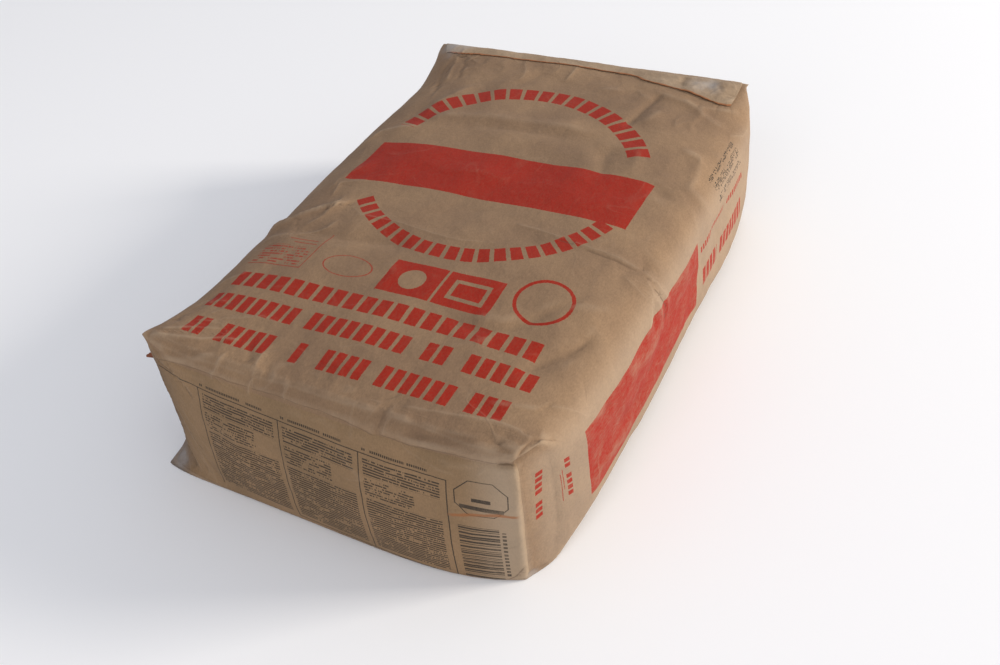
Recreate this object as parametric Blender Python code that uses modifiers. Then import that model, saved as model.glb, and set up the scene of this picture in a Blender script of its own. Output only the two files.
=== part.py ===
"""Cement sack: a pasted block-bottom valve sack of kraft paper, full and lying on its broad side.

X runs across the sack, Y along its length with the valve end at -Y, and Z is up. The origin is on
the floor, under the middle of the sack. All sizes are in metres.
"""

import bmesh
import bpy
import numpy as np

# Driving dimensions of the full sack; each pair is its left and its right side
LENGTH = 0.442
MIDDLE_HALF_WIDTHS = (0.1662, 0.1655)
VALVE_END_HALF_WIDTHS = (0.1515, 0.1530)
FAR_END_HALF_WIDTHS = (0.1575, 0.1535)
LEFT_WAIST_DEPTH = 0.0044
LEFT_WAIST_PLACE = -0.19
LEFT_WAIST_REACH = 0.42
MIDDLE_HEIGHT = 0.130
VALVE_END_HEIGHT = 0.1195
FAR_END_HEIGHT = 0.130

# How full the section is: a superellipse, rounder in the middle than at the folded ends
MIDDLE_FULLNESS = (3.55, 4.7)
END_FULLNESS = 14.0
UNDERSIDE_FULLNESS = 1.45
FOLD_ROUND = 0.003
END_BULGE = 0.007
VALVE_END_HIGH_BULGE = 0.009
VALVE_END_LOW_BULGE = 0.0245
FAR_END_LOW_BULGE = 0.014
VALVE_CORNER_ROUND = 0.008
CLOSED_CORNER_ROUND = 0.022
FAR_CORNER_ROUND = 0.015
SMALL_EAR = (0.0025, 0.001)
LONG_EAR = (0.003, 0.012)
FLOOR_PRESS = 0.0008

# How suddenly each change comes on towards the ends: powers of the way out from the middle
WIDTH_TAPER = 3.8
HEIGHT_TAPER = 2.5
BLOCK_ONSET = 11.0
BULGE_ONSET = 8.0
FOLD_ONSET = 40.0
CORNER_ONSET = 10.0
EAR_ONSET = 40.0

# Paper and the gaps between pieces that touch
SACK_WALL = 0.0005
COVER_WALL = 0.0004
GAP = 0.0003
FAR_COVER_LAP_ROWS = 2
COVER_MARGIN_COLUMNS = 1

# The flat valve tube near the corner of the valve end
VALVE_CENTRE = (-0.1158, -0.2050, 0.067)
VALVE_LENGTH = 0.084
VALVE_HEIGHT = 0.074
VALVE_THICKNESS = 0.0030
CUT_BEYOND_MOUTH = 0.020
CUT_THROUGH_WALL = 0.020

# Facets across, along and up the sack
CELLS = (16, 24, 8)
EDGE_DENSITY = 0.25

KRAFT_BODY = (0.302, 0.178, 0.105)
KRAFT_COVER = (0.262, 0.160, 0.098)
KRAFT_VALVE = (0.220, 0.118, 0.060)
CEMENT_GREY = (0.230, 0.225, 0.212)


def clear_scene():
    """Remove every object, so that the script can be run again."""
    for obj in list(bpy.data.objects):
        bpy.data.objects.remove(obj, do_unlink=True)


def make_collection(name):
    """Return a new collection linked to the scene."""
    collection = bpy.data.collections.new(name)
    bpy.context.scene.collection.children.link(collection)
    return collection


def make_material(name, colour, roughness):
    """Return a plain Principled material with a linear colour."""
    material = bpy.data.materials.new(name)
    material.use_nodes = True
    shader = material.node_tree.nodes["Principled BSDF"]
    shader.inputs["Base Color"].default_value = (*colour, 1.0)
    shader.inputs["Roughness"].default_value = roughness
    shader.inputs["Metallic"].default_value = 0.0
    return material


def spread(u):
    """Space evenly spread values closer together towards -1 and 1."""
    return u * (1.0 + EDGE_DENSITY - EDGE_DENSITY * u * u)


def full_section(p, r, t):
    """Return how far a point on the square section moves in, to give the rounded section."""
    middle = np.where(p < 0.0, MIDDLE_FULLNESS[0], MIDDLE_FULLNESS[1])
    fullness = middle + (END_FULLNESS - middle) * t**BLOCK_ONSET
    fullness = np.where(r < 0.0, fullness * UNDERSIDE_FULLNESS, fullness)
    power_sum = np.abs(p) ** fullness + np.abs(r) ** fullness
    reach = np.maximum(np.abs(p), np.abs(r))
    return reach / np.maximum(power_sum ** (1.0 / fullness), 1e-9)


def sack_surface(p, q, r, with_ears):
    """Carry points of a cube from -1 to 1 onto the outside of the full sack.

    p runs across, q along and r up. The section is widest and highest in the middle. It turns from
    a pillow there to a block at the ends, whose faces bulge out, most of all low down. The left
    side has a slight waist, where the paper is drawn in. The corners are drawn out into flat ears
    of paper, a long one below the valve and short ones at the others. Without ears, it is the
    surface of the cement inside, which the ears are clear of.
    """
    t = np.abs(q)
    at_valve_end = q < 0.0
    fold = FOLD_ROUND * t**FOLD_ONSET
    on_left = p < 0.0
    valve_end = np.where(on_left, VALVE_END_HALF_WIDTHS[0], VALVE_END_HALF_WIDTHS[1])
    far_end = np.where(on_left, FAR_END_HALF_WIDTHS[0], FAR_END_HALF_WIDTHS[1])
    end_half = np.where(at_valve_end, valve_end, far_end)
    middle_half = np.where(on_left, MIDDLE_HALF_WIDTHS[0], MIDDLE_HALF_WIDTHS[1])
    end_height = np.where(at_valve_end, VALVE_END_HEIGHT, FAR_END_HEIGHT)
    waist = LEFT_WAIST_DEPTH * np.exp(-(((q - LEFT_WAIST_PLACE) / LEFT_WAIST_REACH) ** 2))
    half_width = end_half + (middle_half - end_half) * (1.0 - t**WIDTH_TAPER) - fold
    half_width = half_width - np.where(on_left, waist, 0.0)
    top = end_height + (MIDDLE_HEIGHT - end_height) * (1.0 - t**HEIGHT_TAPER) - fold
    inward = full_section(p, r, t)
    x = half_width * p * inward
    z = 0.5 * (top + fold) + 0.5 * (top - fold) * r * inward

    corner = np.where(p < 0.0, VALVE_CORNER_ROUND, CLOSED_CORNER_ROUND)
    corner = np.where(at_valve_end, corner, FAR_CORNER_ROUND)
    low_bulge = np.where(at_valve_end, VALVE_END_LOW_BULGE, FAR_END_LOW_BULGE)
    high_bulge = np.where(at_valve_end, VALVE_END_HIGH_BULGE, 0.0)
    edge_bulge = 0.5 * (low_bulge * (1.0 - r) + high_bulge * (1.0 + r))
    bulge = END_BULGE * (1.0 - p**2) * (1.0 - r**2) + edge_bulge * (1.0 - p**4)
    rounding = corner * np.abs(p) ** CORNER_ONSET * (1.0 - r**2)
    y = 0.5 * LENGTH * q + np.sign(q) * t**BULGE_ONSET * (bulge - rounding)

    if with_ears:
        at_corner = (np.abs(p) * t * np.abs(r)) ** EAR_ONSET
        is_long = (p < 0.0) & at_valve_end & (r < 0.0)
        x = x + np.sign(p) * at_corner * np.where(is_long, LONG_EAR[0], SMALL_EAR[0])
        y = y + np.sign(q) * at_corner * np.where(is_long, LONG_EAR[1], SMALL_EAR[1])
    return x, y, z


def press_on_floor(z):
    """Flatten the underside where the weight of the sack presses it on the floor."""
    return np.maximum(z - FLOOR_PRESS, 0.0)


def make_sack_form(with_ears=True):
    """Return the outside of the sack as a bmesh, and its faces at the two ends.

    A cube is cut into cells, and its vertices are carried onto the sack. The cells are triangles,
    with the same diagonals in every piece, so that one piece's facets lie flat on another's. The
    end faces are those under the cover sheets, which leave the corners bare. The far ones include
    the rows of the top face that the sheet laps over.
    """
    form = bmesh.new()
    bmesh.ops.create_cube(form, size=2.0)
    for axis, cells in enumerate(CELLS):
        along = [
            edge
            for edge in form.edges
            if abs(edge.verts[0].co[axis] - edge.verts[1].co[axis]) > 1.0
        ]
        bmesh.ops.subdivide_edges(form, edges=along, cuts=cells - 1, use_grid_fill=True)
    bmesh.ops.triangulate(form, faces=form.faces, quad_method="FIXED")

    cover_side = 1.0 - 2.0 * COVER_MARGIN_COLUMNS / CELLS[0]
    lap_start = 1.0 - 2.0 * FAR_COVER_LAP_ROWS / CELLS[1]
    near_faces = []
    far_faces = []
    for face in form.faces:
        centre = face.calc_center_median()
        if abs(centre.x) > cover_side:
            continue
        if centre.y < -0.999:
            near_faces.append(face)
        elif centre.y > 0.999 or (centre.z > 0.999 and centre.y > lap_start):
            far_faces.append(face)

    cube_points = spread(np.array([vert.co[:] for vert in form.verts]))
    x, y, z = sack_surface(*cube_points.T, with_ears)
    for vert, point in zip(form.verts, np.stack([x, y, press_on_floor(z)], axis=1)):
        vert.co = point
    bmesh.ops.recalc_face_normals(form, faces=form.faces)
    form.normal_update()
    return form, near_faces, far_faces


def offset_form(form, distance):
    """Move the form's surface out by distance, evenly at its folds too. Negative moves it in."""
    form.normal_update()
    moves = [vert.normal * (distance * vert.calc_shell_factor()) for vert in form.verts]
    for vert, move in zip(form.verts, moves):
        vert.co += move


def add_piece(form, name, collection, material):
    """Turn a bmesh into a named object with its own material."""
    mesh = bpy.data.meshes.new(name)
    form.to_mesh(mesh)
    form.free()
    mesh.materials.append(material)
    mesh.shade_smooth()
    piece = bpy.data.objects.new(name, mesh)
    collection.objects.link(piece)
    return piece


def add_wall(piece, thickness, side):
    """Give an open or closed surface a paper wall, on its outer (1) or inner (-1) side."""
    wall = piece.modifiers.new("paper wall", "SOLIDIFY")
    wall.thickness = thickness
    wall.offset = side
    wall.use_even_offset = True


def add_cut(piece, cutter):
    """Cut a piece with another object."""
    cut = piece.modifiers.new("valve window", "BOOLEAN")
    cut.operation = "DIFFERENCE"
    cut.solver = "EXACT"
    cut.object = cutter


def make_valve_cutter(name, collection, depth):
    """Return a box around the valve tube, from beyond its mouth to a given depth behind it."""
    x, y, z = VALVE_CENTRE
    mouth = x - 0.5 * VALVE_LENGTH
    low_x = mouth - CUT_BEYOND_MOUTH
    high_x = mouth + depth
    form = bmesh.new()
    bmesh.ops.create_cube(form, size=1.0)
    size = (high_x - low_x, VALVE_THICKNESS + 2.0 * GAP, VALVE_HEIGHT + 2.0 * GAP)
    bmesh.ops.scale(form, vec=size, verts=form.verts)
    bmesh.ops.translate(form, vec=(0.5 * (low_x + high_x), y, z), verts=form.verts)
    cutter = add_piece(form, name, collection, make_material(name, (0.8, 0.2, 0.2), 0.5))
    cutter.hide_render = True
    cutter.display_type = "WIRE"
    return cutter


def make_paper_sack(parts, cutters):
    """The sack itself: a paper skin, open only at the slit where the valve tube comes out."""
    form, _, _ = make_sack_form()
    sack = add_piece(form, "paper_sack", parts, make_material("kraft_body", KRAFT_BODY, 0.85))
    add_wall(sack, SACK_WALL, -1.0)
    add_cut(sack, make_valve_cutter("valve_slit_cutter", cutters, CUT_THROUGH_WALL))


def make_cement_fill(parts, cutters):
    """The cement inside: it fills the skin but not its ears, and leaves a pocket for the valve."""
    form, _, _ = make_sack_form(with_ears=False)
    offset_form(form, -(SACK_WALL + GAP))
    fill = add_piece(form, "cement_fill", parts, make_material("cement", CEMENT_GREY, 0.95))
    add_cut(fill, make_valve_cutter("valve_pocket_cutter", cutters, VALVE_LENGTH + GAP))


def make_end_cover(parts, name, at_valve_end):
    """A sheet of paper glued over a folded end. The far one laps onto the top of the sack."""
    form, near_faces, far_faces = make_sack_form()
    kept = set(near_faces if at_valve_end else far_faces)
    offset_form(form, GAP)
    bmesh.ops.delete(form, geom=[face for face in form.faces if face not in kept], context="FACES")
    cover = add_piece(form, name, parts, make_material(name + "_kraft", KRAFT_COVER, 0.8))
    add_wall(cover, COVER_WALL, 1.0)


def make_valve_sleeve(parts):
    """The valve: a flat folded paper tube, open at both ends, its mouth just proud of the sack."""
    form = bmesh.new()
    bmesh.ops.create_cube(form, size=1.0)
    ends = [face for face in form.faces if abs(face.normal.x) > 0.9]
    bmesh.ops.delete(form, geom=ends, context="FACES_ONLY")
    size = (VALVE_LENGTH, VALVE_THICKNESS, VALVE_HEIGHT)
    bmesh.ops.scale(form, vec=size, verts=form.verts)
    bmesh.ops.translate(form, vec=VALVE_CENTRE, verts=form.verts)
    sleeve = add_piece(form, "valve_sleeve", parts, make_material("valve", KRAFT_VALVE, 0.8))
    add_wall(sleeve, COVER_WALL, -1.0)


def centre_on_origin(parts):
    """Move the finished pieces and cutters, so that the whole box is centred over the origin."""
    bpy.context.view_layer.update()
    graph = bpy.context.evaluated_depsgraph_get()
    corners = []
    for piece in parts.objects:
        corners.extend(piece.evaluated_get(graph).bound_box)
    corners = np.array(corners)
    middle = 0.5 * (corners.min(axis=0) + corners.max(axis=0))
    for obj in bpy.data.objects:
        obj.location = (-middle[0], -middle[1], 0.0)


def main():
    """Build the sack."""
    clear_scene()
    parts = make_collection("cement_sack")
    cutters = make_collection("cutters")
    make_paper_sack(parts, cutters)
    make_cement_fill(parts, cutters)
    make_end_cover(parts, "near_end_cover", at_valve_end=True)
    make_end_cover(parts, "far_end_cover", at_valve_end=False)
    make_valve_sleeve(parts)
    centre_on_origin(parts)


main()
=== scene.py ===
"""Looks of a full 25 kg cement sack: a pasted block-bottom valve sack of brown kraft paper, lying flat.

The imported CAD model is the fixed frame. The sack's skin, its two cover sheets and its valve are made
here as creased paper over the same form, and printed with plain generic marks.
"""

import functools
import itertools
import logging
import math
from dataclasses import dataclass, field
from enum import Enum

import bpy
import numpy as np
from mathutils import Matrix, Vector

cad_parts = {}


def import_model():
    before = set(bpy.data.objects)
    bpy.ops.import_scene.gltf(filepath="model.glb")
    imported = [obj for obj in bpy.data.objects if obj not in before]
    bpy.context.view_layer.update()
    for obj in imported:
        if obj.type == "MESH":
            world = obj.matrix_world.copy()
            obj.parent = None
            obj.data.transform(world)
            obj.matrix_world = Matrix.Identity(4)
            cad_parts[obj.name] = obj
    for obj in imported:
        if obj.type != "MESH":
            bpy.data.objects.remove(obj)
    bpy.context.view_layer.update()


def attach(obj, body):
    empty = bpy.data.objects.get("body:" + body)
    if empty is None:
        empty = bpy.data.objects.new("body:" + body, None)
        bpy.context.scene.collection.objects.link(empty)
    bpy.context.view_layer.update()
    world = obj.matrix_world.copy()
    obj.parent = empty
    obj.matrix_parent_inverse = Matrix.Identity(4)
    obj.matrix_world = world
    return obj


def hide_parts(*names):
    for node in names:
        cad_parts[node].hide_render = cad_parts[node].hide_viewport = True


LOG = logging.getLogger("cement_sack")
MM = 0.001
LINE_REACH = 4  # millimetres from a thin line to where its strength ends
FULL_LINE = 1.2  # millimetres of height from which a line has its full strength
CREST_BEND, HOLLOW_BEND = 60, 45  # bend per metre at which paper counts as fully proud or hollow

Pair = tuple[float, float]
Spot = tuple[float, float, float]
Box = tuple[float, float, float, float]


def linear(hex_colour: str) -> Box:
    """Turns an sRGB hex colour into the linear one, with full alpha, that the shaders read."""
    shares = [int(hex_colour[i : i + 2], 16) / 255 for i in (1, 3, 5)]
    return (*(c / 12.92 if c <= 0.04045 else ((c + 0.055) / 1.055) ** 2.4 for c in shares), 1.0)


def smooth(low: float, high: float, value: np.ndarray) -> np.ndarray:
    """Rises from 0 where the value is low to 1 where it is high, as 3t squared minus 2t cubed."""
    t = np.clip((value - low) / (high - low), 0, 1)
    return t * t * (3 - 2 * t)


def grid_lines(cells: int, density: float = 0.25) -> np.ndarray:
    """Sets grid lines from -1 to 1, closer towards both ends: 1 + d times u, minus d times u cubed."""
    even = np.linspace(-1, 1, cells + 1)
    return even * (1 + density - density * even**2)


def unit(vectors: np.ndarray) -> np.ndarray:
    """Scales vectors, which lie along the last axis, to length 1."""
    return vectors / np.maximum(np.linalg.norm(vectors, axis=-1, keepdims=True), 1e-12)


def grid_normals(points: np.ndarray) -> np.ndarray:
    """Unit normals of a grid, rows by columns by 3: row step cross column step."""
    return unit(np.cross(np.gradient(points, axis=0), np.gradient(points, axis=1)))


def vertex_normals(points: np.ndarray, faces: np.ndarray, even: bool) -> np.ndarray:
    """Adds up the normals of the faces round each vertex; each is the cross product of the diagonals.

    Args:
        points: Vertices by 3.
        faces: Faces by 4.
        even: True where all faces count alike, False where each counts by its area.

    Returns:
        Unit normals, vertices by 3.
    """
    turn = np.cross(points[faces[:, 2]] - points[faces[:, 0]], points[faces[:, 3]] - points[faces[:, 1]])
    if even:
        turn = unit(turn)
    normals = np.zeros_like(points)
    for corner in range(4):
        np.add.at(normals, faces[:, corner], turn)
    return unit(normals)


def run_length(points: np.ndarray, axis: int) -> np.ndarray:
    """Adds up the straight steps between neighbours along one axis of a grid.

    Args:
        points: Rows by columns by 3.
        axis: Axis to add along.

    Returns:
        Length from the first grid line, rows by columns.
    """
    steps = np.linalg.norm(np.diff(points, axis=axis), axis=-1)
    start = np.zeros_like(np.take(steps, [0], axis=axis))
    return np.concatenate([start, np.cumsum(steps, axis=axis)], axis=axis)


class PaperNoise:
    """Smooth random relief from random slopes on a lattice, always the same for one seed."""

    GAIN = 1.6  # brings the usual range of the blend to about -1 to 1

    def __init__(self, seed: int, period: int = 40) -> None:
        """Draws the slopes of a lattice that repeats after so many cells."""
        self.slopes = unit(np.random.default_rng(seed).normal(size=(period, period, period, 3)))
        self.period = period

    def at(self, points: np.ndarray, size: float | Spot) -> np.ndarray:
        """Each corner of a cell gives slope times offset; six t^5 - fifteen t^4 + ten t^3 blends the eight.

        Args:
            points: Points in metres, any shape by 3.
            size: Cell size in metres, one number or one per axis.

        Returns:
            Values of about -1 to 1.
        """
        u = points / np.asarray(size)
        cell = np.floor(u).astype(int)
        part = u - cell
        blend = part**3 * (part * (part * 6 - 15) + 10)
        total = np.zeros(points.shape[:-1])
        for corner in itertools.product((0, 1), repeat=3):
            index = (cell + np.array(corner)) % self.period
            slope = self.slopes[index[..., 0], index[..., 1], index[..., 2]]
            weight = np.where(np.array(corner) == 1, blend, 1 - blend).prod(-1)
            total += weight * (slope * (part - np.array(corner))).sum(-1)
        return total * self.GAIN

    def pinched(self, points: np.ndarray, size: float) -> np.ndarray:
        """One minus twice the size of the noise: crests are sharp lines, as in crumpled paper."""
        return 1 - 2 * np.abs(self.at(points, size))


@dataclass(frozen=True)
class SackForm:
    """The filled sack's form. It follows the CAD source's formula. Sizes in metres.

    Each pair of half widths or powers is that of the left and of the right side.
    """

    length: float = 0.442
    middle_half: Pair = (0.1662, 0.1655)
    valve_end_half: Pair = (0.1515, 0.1530)
    far_end_half: Pair = (0.1620, 0.1555)
    near_taper: Pair = (2.6, 6.0)
    far_taper: float = 3.8
    waist: Spot = (0.0058, -0.33, 0.42)
    middle_height: float = 0.130
    valve_end_height: float = 0.1195
    far_end_height: float = 0.130
    fullness: Pair = (3.55, 4.7)
    end_fullness: float = 14.0
    edge_fullness: float = 26.0
    underside_fullness: float = 1.45
    fold_round: float = 0.0015
    band_drop: float = 0.005
    band_share: float = 0.026
    end_bulge: float = 0.007
    valve_end_high_bulge: float = 0.009
    valve_end_low_bulge: float = 0.0245
    far_end_low_bulge: float = 0.014
    valve_corner_round: float = 0.002
    closed_corner_round: float = 0.022
    far_corner_round: float = 0.015
    chamfer_start: float = 0.925
    chamfer_share: float = 0.64
    chamfer_run: float = 3.0
    far_pinch: float = 0.011
    small_ear: Pair = (0.0010, 0.0006)
    tip_ear: Pair = (0.0052, 0.0008)
    long_ear: Pair = (0.006, 0.022)
    floor_press: float = 0.0008
    shift: float = 0.0051

    def fold_drop(self, p: np.ndarray, t: np.ndarray) -> np.ndarray:
        """The drop in metres of the valve end's fold, pressed to a band that fades at the corners."""
        reach = np.clip((t - 1 + self.band_share) / self.band_share, 0, 1)
        return self.band_drop * (1 - p**10) * reach**1.1

    def surface(self, p: np.ndarray, q: np.ndarray, r: np.ndarray) -> np.ndarray:
        """A cube's surface, p across, q along and r up, each from -1 to 1, carried to the sack.

        The section is a superellipse whose power grows towards the folded ends, where it is a block.
        Width and height taper to the ends, the left side has a waist, the ends bulge, their upright
        corners are rounded, and the corners of each end run out into ears, a wide one under the
        valve. The floor presses the underside flat.

        Args:
            p: Places across.
            q: Places along.
            r: Places up.

        Returns:
            Points in metres, with a last axis of 3.
        """
        p, q, r = np.broadcast_arrays(p, q, r)
        t, near = np.abs(q), q < 0
        fold = self.fold_round * t**40
        left = p < 0
        end_half = np.where(near, np.where(left, *self.valve_end_half), np.where(left, *self.far_end_half))
        middle_half = np.where(left, *self.middle_half)
        end_height = np.where(near, self.valve_end_height, self.far_end_height)
        depth, place, reach = self.waist
        drawn_in = np.where(left, depth * np.exp(-(((q - place) / reach) ** 2)), 0)
        taper = np.where(near, np.where(left, *self.near_taper), self.far_taper)
        half = end_half + (middle_half - end_half) * (1 - t**taper) - fold - drawn_in
        half = half - np.where(left | near, 0, self.far_pinch * t**16)
        soft = np.where(near, self.fold_drop(p, t), 0)
        top = end_height + (self.middle_height - end_height) * (1 - t**2.5) - fold - soft
        fullness = np.where(left, *self.fullness)
        power = fullness + (self.end_fullness - fullness) * t**11 + self.edge_fullness * t**60
        power = power * np.where(r < 0, self.underside_fullness, 1)
        most = np.maximum(np.abs(p), np.abs(r))
        scale = most / np.maximum((np.abs(p) ** power + np.abs(r) ** power) ** (1 / power), 1e-9)
        x = half * p * scale
        z = 0.5 * (top + fold) + 0.5 * (top - fold) * r * scale
        valve_round = np.where(left, self.valve_corner_round, self.closed_corner_round)
        corner = np.where(near, valve_round, self.far_corner_round)
        low = np.where(near, self.valve_end_low_bulge, self.far_end_low_bulge)
        high = np.where(near, self.valve_end_high_bulge, 0)
        edges = 0.5 * (low * (1 - r) + high * (1 + r))
        bulge = self.end_bulge * (1 - p**2) * (1 - r**2) + edges * (1 - np.abs(p) ** np.where(left, 7, 4))
        rounding = corner * np.abs(p) ** 10 * (1 - r**2)
        ramp = np.clip((p - self.chamfer_start) / (1 - self.chamfer_start), 0, 1)
        cut = corner * ramp * (1 - (1 - self.chamfer_share) * r**2)
        rounding = np.where(near & ~left, cut, rounding)
        run = t ** np.where(near & ~left, self.chamfer_run, 8)
        y = 0.5 * self.length * q + np.sign(q) * (t**8 * bulge - run * rounding)
        is_long = left & near & (r < 0)
        ear = (np.abs(p) * t * np.abs(r)) ** 36
        flap = np.abs(p) ** 6 * t**40 * np.abs(r) ** 9
        is_tip = ~left & ~near & (r > 0)
        sizes = [np.where(is_tip, tip, small) for tip, small in zip(self.tip_ear, self.small_ear)]
        x = x + np.sign(p) * np.where(is_long, self.long_ear[0] * flap, sizes[0] * ear)
        y = y + np.sign(q) * np.where(is_long, self.long_ear[1] * flap, sizes[1] * ear)
        return np.stack([x, y + self.shift, np.maximum(z - self.floor_press, 0)], -1)


class Fold(Enum):
    """How the paper stands at a crease."""

    SOFT = "a round swell"
    SHARP = "a pinched crest"
    STEP = "a ply edge, with its left side higher"
    TORN = "a torn ply edge that shows the paper's core"
    SLOPE = "a flat slope down from the path on its left, which ends in a fold"


@dataclass(frozen=True)
class Crease:
    """One crease, drawn on the flat sheet in millimetres: across from the middle, and along."""

    path: tuple[Pair, ...]
    height: float
    width: float
    fold: Fold
    fade: float

    REACH_WIDTHS = 4.5  # a profile is next to nothing beyond so many widths
    LEAST_REACH = 5.0  # millimetres, more than the reach of the thin lines
    SOFT_POWER = 1.4  # a bell curve has 2, an exponential 1
    PLY_SLOPE, PLY_FOOT = 2.2, 0.25  # widths of a ply edge's two bells
    SLOPE_FALL = 0.3  # widths over which a slope falls at its end

    def measure(self, flat: np.ndarray) -> tuple[np.ndarray, ...]:
        """Finds the places near the path, and where they lie from its nearest stretch.

        Args:
            flat: Places on the flat sheet in metres, any shape by 2.

        Returns:
            Which places are near. For those: distance in widths of the crease, whether they are on
            the path's left, and a fade over its two ends.
        """
        points = np.array(self.path) * MM
        reach = max(self.REACH_WIDTHS * self.width, self.LEAST_REACH) * MM
        inside = ((flat > points.min(0) - reach) & (flat < points.max(0) + reach)).all(-1)
        place = flat[inside]
        starts, steps = points[:-1], np.diff(points, axis=0)
        lengths = np.linalg.norm(steps, axis=1)
        offset = place[:, None] - starts
        share = np.clip((offset * steps).sum(-1) / lengths**2, 0, 1)
        away = np.linalg.norm(offset - share[..., None] * steps, axis=-1)
        nearest = away.argmin(1)
        rows = np.arange(len(place))
        along = np.cumsum(np.r_[0, lengths[:-1]])[nearest] + share[rows, nearest] * lengths[nearest]
        total = lengths.sum()
        fade = smooth(0, self.fade * MM, along) * smooth(0, self.fade * MM, total - along)
        turn = steps[nearest, 0] * offset[rows, nearest, 1] - steps[nearest, 1] * offset[rows, nearest, 0]
        return inside, away[rows, nearest] / (self.width * MM), turn > 0, fade

    def lift(self, flat: np.ndarray) -> np.ndarray:
        """Height times a profile of the distance to the path, faded over its two ends.

        The profile is a slightly pinched bell curve for a soft fold and a falling exponential for a
        sharp one. A ply edge is a wide bell on its left and a narrow one on its right. A slope rises
        straight and falls quickly.

        Args:
            flat: Places on the flat sheet in metres, any shape by 2.

        Returns:
            Lift in metres.
        """
        inside, distance, left, fade = self.measure(flat)
        if self.fold is Fold.SHARP:
            profile = np.exp(-distance)
        elif self.fold in (Fold.STEP, Fold.TORN):
            bell = np.where(left, self.PLY_SLOPE, self.PLY_FOOT)
            profile = np.exp(-((distance / bell) ** 2))
        elif self.fold is Fold.SLOPE:
            fall = np.clip(1 - (distance - 1) / self.SLOPE_FALL, 0, 1)
            profile = np.where(left, np.minimum(distance, fall), 0)
        else:
            profile = np.exp(-(distance**self.SOFT_POWER))
        lift = np.zeros(flat.shape[:-1])
        lift[inside] = self.height * MM * fade * profile
        return lift


def line_marks(flat: np.ndarray, creases: tuple[Crease, ...]) -> dict[str, np.ndarray]:
    """Carries the thin lines of folds and ply edges to the shader, far finer than the mesh is.

    For each kind of line, each place gets its signed distance in millimetres to the nearest one
    and that line's strength. The strength is 0 from 4 mm on, where the distance may jump.

    Args:
        flat: Vertices on the flat sheet in metres, vertices by 2.
        creases: The drawn creases.

    Returns:
        Two values per vertex and kind of line.
    """
    marks = {}
    for fold, name in ((Fold.SHARP, "ridge"), (Fold.STEP, "ply"), (Fold.TORN, "torn")):
        off, power = np.full(len(flat), 2.25 * LINE_REACH), np.zeros(len(flat))
        for crease in (crease for crease in creases if crease.fold is fold):
            inside, distance, left, fade = crease.measure(flat)
            away = distance * crease.width
            spots = np.flatnonzero(inside)
            nearer = away < np.abs(off[spots])
            share = min(max(abs(crease.height) / FULL_LINE, 0.25), 1.0)
            strength = math.copysign(share, crease.height)
            off[spots[nearer]] = np.where(left, away, -away)[nearer]
            power[spots[nearer]] = (strength * fade * (away < LINE_REACH))[nearer]
        marks |= {name + "_off": off, name + "_power": power}
    return marks


def scattered(
    seed: int, count: int, box: tuple[float, ...], bearing: float, most: float = 0.5
) -> tuple[Crease, ...]:
    """Draws short fine folds at random. Each is bent once, and most lie near one bearing.

    Args:
        seed: Seed of the draw.
        count: How many.
        box: Left, low, right and high limits of their starts on the flat sheet, in millimetres.
        bearing: Mean bearing in degrees, anticlockwise from across.
        most: Greatest height in millimetres.

    Returns:
        The folds.
    """
    draw = np.random.default_rng(seed)
    folds = []
    for _ in range(count):
        path = [draw.uniform(box[:2], box[2:])]
        angle = math.radians(bearing + draw.normal(0, 22))
        for length in draw.uniform(4, 13, 2):
            path.append(path[-1] + length * np.array((math.cos(angle), math.sin(angle))))
            angle += draw.normal(0, 0.45)
        height = draw.choice((-1, 1)) * draw.uniform(0.3, 1) * most
        folds.append(Crease(tuple(tuple(point) for point in path), height, 1.5, Fold.SHARP, 5))
    return tuple(folds)


def drawn(*rows: tuple) -> tuple[Crease, ...]:
    """Makes creases from rows of height, width, fold, fade and the points of the path."""
    return tuple(Crease(tuple(path), *sizes) for *sizes, path in ((*row[:4], row[4:]) for row in rows))


# Each row below: height, width, fold and fade, then the path, in millimetres. The paths were read from
# the photograph, apart from two on the left side, which it does not show.
SOFT, SHARP, STEP, TORN, SLOPE = Fold

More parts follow.
